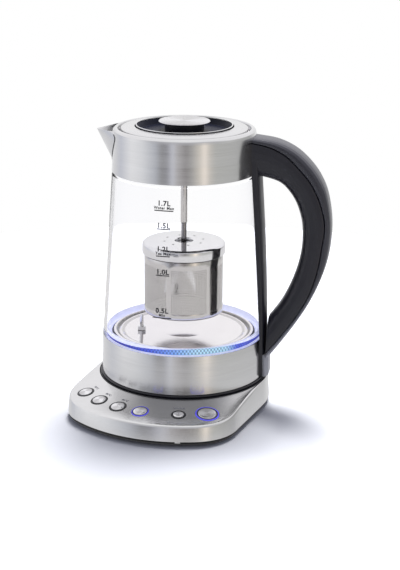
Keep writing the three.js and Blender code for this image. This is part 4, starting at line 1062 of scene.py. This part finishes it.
def handle():
    outer, seam, inner = rail(OUTER_RAIL_SHARES), rail(SEAM_RAIL_SHARES), rail(INNER_RAIL_SHARES)
    shell = handle_loft(inner, seam, SHELL_SECTION_SHARES, 0, SHELL_ROUND)
    publish("handle_shell_loft", shell, ["handle_shell"], sharp=math.radians(60))
    cover = handle_loft(seam, outer, COVER_SECTION_SHARES, SEAM_GAP, COVER_ROUND)
    publish("handle_cover_loft", joined(cover, cover_foot()), ["handle_cover"], sharp=math.radians(60))


def cover_foot():
    """Plate at the cover's lower end, bent round the spine's face and its slanted sides."""
    shares, corners, faces = zip(*SPINE_ROW_SHARES)
    rings = []
    for height in (0, COVER_FOOT_TOP / 2, COVER_FOOT_TOP):
        share = (height - SPINE_LOW) / (SPINE_TOP - SPINE_LOW)
        corner, face = (np.interp(share, shares, proud) for proud in (corners, faces))
        line = []
        for depth in (COVER_FOOT_WALL, 0):
            back = wall_by(share) + FIT_GAP + depth
            edge = (back + corner * SPINE_PROUD, -SPINE_HALF_WIDTH)
            whole = mirrored([edge, (back + face * SPINE_PROUD, -SPINE_FACE_HALF_WIDTH)])
            line += whole if depth else whole[::-1]
        rings.append([(x, y, height) for x, y in soften(line, COVER_ROUND, 3)])
    return skin(rings)


def spine():
    root = (SPINE_ROOT_TOP - SPINE_LOW) / (SPINE_TOP - SPINE_LOW)
    rows = [*SPINE_ROW_SHARES, (root, *SPINE_ROW_SHARES[-1][1:])]
    rings = []
    for share, corner, face in curve(rows, SPINE_STATIONS):
        height = SPINE_LOW + share * (SPINE_TOP - SPINE_LOW)
        wall = wall_by(share)
        crown = []
        for turn in np.linspace(-math.pi / 2, math.pi / 2, SPINE_STEPS):
            proud = corner + (face - corner) * math.cos(turn)
            crown.append((wall + proud * SPINE_PROUD, SPINE_HALF_WIDTH * math.sin(turn)))
        inner = wall - 2 * OVERRUN
        flat = [(inner, -SPINE_HALF_WIDTH), *crown, (inner, SPINE_HALF_WIDTH)]
        rings.append([held_off((x, y, height)) for x, y in soften(flat, SPINE_ROUND, 3)])
    publish("handle_spine_loft", skin(rings), ["handle_spine"])


# Beak

def beak_line(height_share, reach_share, width_share, inset):
    """One level of the beak's sheet, from one root round the tip to the other root."""
    height = BEAK_FOOT + (BEAK_TOP - BEAK_FOOT) * height_share
    lift = BEAK_ROOT_RISE * max(height_share - 0.9, 0) * 10
    tip = UPPER_BAND_RADIUS + BEAK_PROUD * reach_share - inset
    half = BEAK_WIDTH / 2 * width_share - inset
    root = math.sqrt(UPPER_BAND_RADIUS ** 2 - half ** 2) - BAND_SHEET / 2
    side = []
    for share in np.linspace(1, 0, BEAK_STEPS):
        x = tip - BEAK_TIP_ROUND / 2 + (root - tip + BEAK_TIP_ROUND / 2) * share
        y = BEAK_TIP_ROUND + (half - BEAK_TIP_ROUND) * share + BEAK_BULGE * math.sin(math.pi * share)
        side.append((-x, y, height + lift * share))
    far = mirrored(side)[BEAK_STEPS:]
    return side + [(-tip, 0, height)] + far


def beak():
    rows = curve(BEAK_ROW_SHARES, BEAK_STATIONS)
    rings = [beak_line(*row, 0) + beak_line(*row, BAND_SHEET)[::-1] for row in rows]
    mesh = skin(rings, capped=False)
    mesh.verts.ensure_lookup_table()
    count = len(rings[0])
    for first in (0, count * (len(rings) - 1)):
        for k in range(count // 2 - 1):
            corners = (first + k, first + k + 1, first + count - 2 - k, first + count - 1 - k)
            mesh.faces.new([mesh.verts[i] for i in corners])
    publish("beak_sheet", bevelled(tidy(mesh), BEAK_EDGE, math.radians(50)), ["beak"])


def tube(points, radius, sides):
    """Round tube along a line of points on the kettle's side."""
    rings = []
    for i, point in enumerate(points):
        here = Vector(point)
        along = (Vector(points[min(i + 1, len(points) - 1)]) - Vector(points[max(i - 1, 0)])).normalized()
        out = Vector((here.x, here.y, 0)).normalized()
        aside = along.cross(out).normalized()
        out = aside.cross(along)
        rings.append([here + (out * math.cos(t) + aside * math.sin(t)) * radius for t in turns(sides)])
    return skin(rings)


def beak_root_shade_line():
    """Thin bead along the weld where the beak meets the band, in dark steel that paints the reflection and
    shade at the beak's root.
    """
    sides = []
    for side in (-1, 1):
        line = []
        for height_share, reach_share, width_share in curve(BEAK_ROW_SHARES, BEAK_STATIONS):
            y = side * BEAK_WIDTH / 2 * width_share
            x = -math.sqrt(UPPER_BAND_RADIUS ** 2 - y ** 2)
            line.append((x, y, BEAK_FOOT + (BEAK_TOP - BEAK_FOOT) * height_share))
        sides.append(tube(line, SEAM_RADIUS, SEAM_SIDES))
    publish("beak_weld_shaded", joined(*sides), finish="seam_steel", body="kettle", slot="brushed_steel")


# Infuser

def pierced_tube(outer, sheet, angles, heights, is_open):
    """A thin tube of cells between angles and heights, some of them open."""
    mesh = bmesh.new()
    count = len(angles)
    rows = len(heights) - 1
    corner = {}

    def vert(i, j, deep):
        key = (i % count, j, deep)
        if key not in corner:
            corner[key] = mesh.verts.new(polar(outer - sheet * deep, angles[i % count], heights[j]))
        return corner[key]

    def solid(i, j):
        return 0 <= j < rows and not is_open(i % count, j)

    for i in range(count):
        for j in range(rows):
            if not solid(i, j):
                continue
            square = [(i, j), (i + 1, j), (i + 1, j + 1), (i, j + 1)]
            mesh.faces.new([vert(*c, 0) for c in square])
            mesh.faces.new([vert(*c, 1) for c in reversed(square)])
            beyond = [(i, j - 1), (i + 1, j), (i, j + 1), (i - 1, j)]
            for k, next_cell in enumerate(beyond):
                if not solid(*next_cell):
                    a, b = square[k], square[(k + 1) % 4]
                    mesh.faces.new((vert(*a, 0), vert(*a, 1), vert(*b, 1), vert(*b, 0)))
    bmesh.ops.recalc_face_normals(mesh, faces=mesh.faces)
    return mesh


def basket_frame():
    """Basket wall with six windows between plain strips, its foot flange and its neck."""
    line = section("basket_frame", angle=PANEL_TURN)
    radius = widest(line)
    lowest = min(z for r, z in line)
    low = lowest + BASKET_RISE
    wall_top = max(z for r, z in line if r > radius - SAME)
    foot = [(r, z + BASKET_RISE) for r, z in line if z < lowest + 2 * BASKET_SHEET]
    neck = [p for p in line if p[1] > wall_top - 2 * BASKET_SHEET]
    sill, head = low + PANEL_FOOT_BAND, wall_top - PANEL_NECK_BAND + FIT_GAP
    pitch = 2 * math.pi / PANEL_COUNT
    angles = []
    for i in range(PANEL_COUNT):
        middle = PANEL_TURN + i * pitch
        start, end = middle - PANEL_STRIP / 2, middle + PANEL_STRIP / 2
        angles += [start, middle, end]
        angles += list(np.linspace(end, start + pitch, PANEL_STEPS + 1)[1:-1])
    group = PANEL_STEPS + 2

    def is_open(i, j):
        return j == 1 and i % group >= 2

    heights = [low + BASKET_SHEET, sill, head, wall_top - BASKET_SHEET]
    wall = bevelled(pierced_tube(radius, BASKET_SHEET, angles, heights, is_open), PANEL_EDGE)
    rims = [lathe(soften(part, BASKET_EDGE)) for part in (foot, neck)]
    publish("basket_wall", joined(wall, *rims), ["basket_frame"], finish="basket_steel")
    return radius, sill, head


def basket_mesh(radius, sill, head):
    """Woven sheet in each window: square openings between wires."""
    outer = radius - MESH_SET_BACK
    window = 2 * math.pi / PANEL_COUNT - PANEL_STRIP
    columns = round(window * outer / MESH_PITCH)
    rows = round((head - sill) / MESH_PITCH)
    rise = (head - sill) / rows
    heights = [sill]
    for j in range(rows):
        heights += [sill + (j + MESH_WIRE_SHARE / 2) * rise, sill + (j + 1 - MESH_WIRE_SHARE / 2) * rise]
    heights.append(head)
    angles = []
    for i in range(PANEL_COUNT):
        start = PANEL_TURN + PANEL_STRIP / 2 + i * (window + PANEL_STRIP)
        angles.append(start)
        for k in range(columns):
            middle = start + (k + 0.5) * window / columns
            half = (1 - MESH_WIRE_SHARE) / 2 * window / columns
            angles += [middle - half, middle + half]
        angles.append(start + window)
    group = 2 * columns + 2

    def is_open(i, j):
        return i % group == group - 1 or i % group % 2 == 1 and j % 2 == 1

    mesh = pierced_tube(outer, MESH_SHEET, angles, heights, is_open)
    publish("basket_mesh_sheets", mesh, ["basket_mesh"], finish="basket_steel")


def basket_lid():
    shell = lathe(soften([(r * BASKET_LID_SHARE, z) for r, z in section("basket_lid")], BASKET_LID_ROUND))
    top = max(v.co.z for v in shell.verts)
    holes = []
    for i in range(DRAIN_HOLES):
        turn = (i + 0.5) / DRAIN_HOLES * 2 * math.pi
        spot = Matrix.Rotation(turn, 4, "Z") @ Matrix.Translation((DRAIN_CIRCLE, 0, 0))
        holes.append(moved(peg(DRAIN_HOLE_RADIUS, top - OVERRUN, top + OVERRUN, HOLE_SIDES), spot))
    publish("basket_lid_turned", carved(shell, *holes), ["basket_lid"], finish="polished_steel")


# Base

def arc(x, y, radius, start, end, steps):
    swing = np.linspace(start, end, steps, endpoint=False)
    return [(x + radius * math.cos(t), y + radius * math.sin(t)) for t in swing]


def base_outline():
    """Round back, two flats, two corners and a front arc, seen from above."""
    corner_x = BASE_HALF_WIDTH - BASE_CORNER_RADIUS
    corner_y = -math.sqrt((BASE_FRONT_RADIUS - BASE_CORNER_RADIUS) ** 2 - corner_x ** 2)
    bend = math.atan2(-corner_y, corner_x)
    flats = np.linspace(0, corner_y, FLAT_STEPS, endpoint=False)
    return [
        *arc(0, 0, BASE_HALF_WIDTH, 0, math.pi, 2 * OUTLINE_STEPS),
        *[(-BASE_HALF_WIDTH, y) for y in flats],
        *arc(-corner_x, corner_y, BASE_CORNER_RADIUS, math.pi, math.pi + bend, OUTLINE_STEPS // 2),
        *arc(0, 0, BASE_FRONT_RADIUS, math.pi + bend, 2 * math.pi - bend, OUTLINE_STEPS),
        *arc(corner_x, corner_y, BASE_CORNER_RADIUS, -bend, 0, OUTLINE_STEPS // 2),
        *[(BASE_HALF_WIDTH, corner_y - y) for y in flats],
    ]


def swept(profile_at, radius):
    """A profile that depends on the outline's distance from the axis, swept round it."""
    rings = []
    for x, y in base_outline():
        reach = math.hypot(x, y)
        rings.append([(x / reach * r, y / reach * r, z) for r, z in soften(profile_at(reach), radius, 5)])
    return skin(rings, looped=True)


def cover_profile(reach):
    edge = SEAT_TOP - (reach - SEAT_HOLE_RADIUS) * math.tan(PANEL_SLOPE)
    return [
        (SEAT_HOLE_RADIUS, SEAT_TOP),
        (reach, edge),
        (reach + BASE_FLARE, COVER_FOOT),
        (reach + BASE_FLARE - BASE_SHEET, COVER_FOOT),
        (max(reach - BASE_SHEET, SEAT_HOLE_RADIUS + SAME), edge - BASE_SHEET),
        (SEAT_HOLE_RADIUS, SEAT_TOP - BASE_SHEET),
    ]


def gland_hole():
    reach = 4 * OVERRUN
    spot = Matrix.Translation((0, BASE_HALF_WIDTH, GLAND_HEIGHT)) @ Matrix.Rotation(-math.pi / 2, 4, "X")
    return moved(peg(GLAND_RADIUS + FIT_GAP, -reach, reach), spot)


def base_cover():
    reach = 2 * OVERRUN
    cutters = [gland_hole()]
    for node in RING_NODES:
        place = button_place(node)
        radius = widest(section(node, place)) + FIT_GAP
        cutters.append(moved(peg(radius, -reach, reach, BUTTON_SIDES), place))
    cover = carved(swept(cover_profile, BASE_ROUND), *cutters)
    publish("base_cover_swept", cover, ["base_cover"], finish="panel_steel", place=UPRIGHT)


def cover_tab():
    """Small tab under the front of the cover's foot."""
    reach = BASE_FRONT_RADIUS + BASE_FLARE
    half = TAB_WIDTH / 2
    tab = block((reach - BASE_SHEET, -half, COVER_FOOT - TAB_DROP), (reach - SAME, half, COVER_FOOT))
    tab = bevelled(tab, TAB_EDGE)
    place = Matrix.Rotation(TAB_ANGLE, 4, "Z")
    publish("cover_tab", tab, finish="panel_steel", body="base", slot="brushed_steel", place=place)


def tray_profile(reach):
    seat = COVER_FOOT - FIT_GAP
    lip = reach + BASE_FLARE - FIT_GAP
    wall = reach + BASE_FLARE - BASE_SHEET - 2 * RUN_GAP
    floor_top = TRAY_LOW + TRAY_FLOOR
    rise = seat - TRAY_LOW
    return [
        (0, TRAY_LOW), (lip - TRAY_ROUND, TRAY_LOW), (lip - 0.4 * TRAY_ROUND, TRAY_LOW + 0.25 * rise),
        (lip, TRAY_LOW + 0.75 * rise), (lip, seat), (wall, seat), (wall, TRAY_UPSTAND),
        (wall - TRAY_WALL, TRAY_UPSTAND), (wall - TRAY_WALL, floor_top), (0, floor_top),
    ]


def base_tray():
    holes = []
    for node in FOOT_NODES:
        low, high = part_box(node)
        radius = (high.x - low.x) / 2 / MM + FIT_GAP
        holes.append(moved(peg(radius, -OVERRUN, high.z / MM + FIT_GAP), own_axis(node)))
    tray = carved(swept(tray_profile, TRAY_EDGE), gland_hole(), *holes)
    publish("base_tray_swept", tray, ["base_tray"], finish="tray_black", place=UPRIGHT)


def cord_gland():
    """Gland at the back: turned about an axis that points out of the wall."""
    low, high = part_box("cord_gland")
    place = Matrix.Translation((0, 0, (low.z + high.z) / 2 / MM)) @ Matrix.Rotation(-math.pi / 2, 4, "X")
    publish_turned("cord_gland", SOFT_EDGE, SMALL_SIDES, place)


def buttons():
    for ring in RING_NODES:
        place = button_place(ring)
        glow = "ring_glow" if ring in LIT_RINGS else None
        publish_turned(ring, RING_EDGE, BUTTON_SIDES, place, finish=glow)
        publish_turned(ring.replace("ring", "button"), FINE_EDGE, BUTTON_SIDES, place, finish="spun_steel")
        if ring in LABELS:
            label(ring, place)


def label(ring, place):
    """Legend on the panel, on the far side of a ring."""
    line = section(ring, place)
    rise = Matrix.Translation((0, widest(line) + LABEL_GAP, highest(line) - RING_PROUD + INK_LIFT))
    letters = moved(lettering(LABELS[ring], LABEL_SIZE), rise)
    publish(f"{ring}_label", letters, finish="label_ink", body="base", slot="dark_ring", place=place)


# The whole

def kettle():
    for node, edge in KETTLE_EDGES.items():
        sides = SMALL_SIDES if node in SMALL_TURNED else BODY_SIDES
        publish_turned(node, edge, sides, finish=KETTLE_FINISH.get(node))
    upper_band()
    handle()
    spine()
    beak()
    beak_root_shade_line()
    light_dots()
    litre_marks()
    basket_mesh(*basket_frame())
    publish_turned("basket_floor", BASKET_FLOOR_EDGE, rise=BASKET_RISE, finish="under_steel")
    basket_lid()
    publish_turned("probe_stem", FINE_EDGE, SMALL_SIDES, own_axis("probe_stem"))
    publish("probe_nut_bevelled", bevelled(cad_mesh("probe_nut", KETTLE), NUT_EDGE), ["probe_nut"])


def base():
    base_cover()
    cover_tab()
    base_tray()
    cord_gland()
    buttons()
    publish_turned("kettle_seat", SOFT_EDGE, place=UPRIGHT)
    publish_turned("connector_post", FINE_EDGE, BUTTON_SIDES, place=UPRIGHT)
    for node in FOOT_NODES:
        publish_turned(node, SOFT_EDGE, SMALL_SIDES, own_axis(node))


def dress_the_rest():
    """Every node that still shows gets its slot's material."""
    for name, node in frame["nodes"].items():
        node.data.materials.clear()
        node.data.materials.append(FINISH[SLOT_OF[name]])


# Light and camera

def camera():
    data = bpy.data.cameras.new("camera")
    data.sensor_width = SENSOR_LENGTH
    data.sensor_fit = "AUTO"
    longest = max(PICTURE_WIDTH, PICTURE_HEIGHT)
    data.lens = FOCAL_PIXELS / longest * SENSOR_LENGTH
    data.shift_x = (PICTURE_WIDTH / 2 - AXIS_PIXEL) / longest
    data.clip_start = CLIP_START * MM
    data.clip_end = CLIP_END * MM
    made = linked("camera", data)
    stand = Matrix.Translation(Vector((0, -CAMERA_DISTANCE, CAMERA_HEIGHT)) * MM)
    aim = Matrix.Rotation(math.pi / 2 - CAMERA_PITCH, 4, "X") @ Matrix.Rotation(CAMERA_ROLL, 4, "Z")
    made.matrix_world = Matrix.Rotation(VIEW_TURN, 4, "Z") @ stand @ aim
    bpy.context.scene.camera = made


def surroundings(tree):
    """Tones that are mirrored: a band all round at eye height, with others above and below it."""
    x, y, z = parts_of(tree, spot_in(tree, "Generated"))
    turn = maths(tree, "SUBTRACT", maths(tree, "ARCTAN2", y, x), VIEW_TURN - math.pi / 2)
    before = maths(tree, "COSINE", turn)
    share = maths(tree, "FRACT", maths(tree, "ADD", maths(tree, "DIVIDE", turn, 2 * math.pi), 1.5))
    band = ramp_in(tree, share, SURROUND_STOPS)
    level = mix(tree, spread(tree, z, 0.0, 0.85, -0.16, -0.42), band, UNDER)
    sky = mix(tree, spread(tree, before, 0.0, 1.0, 0.1, 0.6), BEHIND_ABOVE, BEFORE_ABOVE)
    lower = mix(tree, spread(tree, z, 0.0, 1.0, 0.12, 0.32), level, sky)
    light = mix(tree, spread(tree, before, 0.0, 1.0, -1.0, 1.0), LIGHT_BEHIND, LIGHT_BEFORE)
    return mix(tree, spread(tree, z, 0.0, 1.0, 0.75, 0.95), lower, ZENITH), light


def world():
    """White all round for what is seen directly, and banded surroundings for what is mirrored."""
    made = bpy.data.worlds.new("studio")
    bpy.context.scene.world = made
    made.use_nodes = True
    made.cycles.sampling_method = "NONE"
    tree = made.node_tree
    above, light = surroundings(tree)
    path = node_in(tree, "ShaderNodeLightPath").outputs
    seen = mix(tree, maths(tree, "GREATER_THAN", path["Diffuse Depth"], 0.5), WHITE, light)
    whole = mix(tree, maths(tree, "GREATER_THAN", path["Glossy Depth"], 0.5), seen, above)
    tree.links.new(whole, tree.nodes["Background"].inputs["Color"])


def lamp():
    """Soft square lamp that faces the middle of the kettle."""
    data = bpy.data.lights.new("over", "AREA")
    data.size = LAMP_SIZE
    data.energy = LAMP_POWER
    made = linked("over", data)
    made.location = LAMP_SPOT
    made.rotation_euler = (Vector(LAMP_TARGET) - Vector(LAMP_SPOT)).to_track_quat("-Z", "Y").to_euler()
    made.visible_glossy = False
    made.visible_transmission = False


def floor_finish():
    """Pale matt floor that shows one even tone to what mirrors it twice."""
    made, tree, shader = principled("floor", {"Roughness": 0.9, "Specular IOR Level": 0.0})
    grain = spread(tree, noise(tree, spot_in(tree), 60.0))
    dress(tree, shader, mix(tree, grain, FLOOR_DARK, FLOOR_LIGHT))
    even = node_in(tree, "ShaderNodeEmission", {"Color": (*FLOOR_MIRRORED, 1)})
    path = node_in(tree, "ShaderNodeLightPath").outputs
    share = maths(tree, "GREATER_THAN", path["Glossy Depth"], 0.5)
    kind = node_in(tree, "ShaderNodeMixShader", {0: share, 1: shader.outputs[0], 2: even.outputs[0]})
    tree.links.new(kind.outputs[0], tree.nodes["Material Output"].inputs["Surface"])
    return made


def floor():
    mesh = bmesh.new()
    bmesh.ops.create_circle(mesh, cap_ends=True, radius=FLOOR_RADIUS, segments=FLOOR_SIDES)
    piece = shown("floor", mesh, floor_finish())
    piece.location.z = -FLOOR_DROP
    piece.visible_glossy = False


camera()
base()
kettle()
dress_the_rest()
bpy.context.scene.view_settings.view_transform = "Standard"
world()
floor()
lamp()
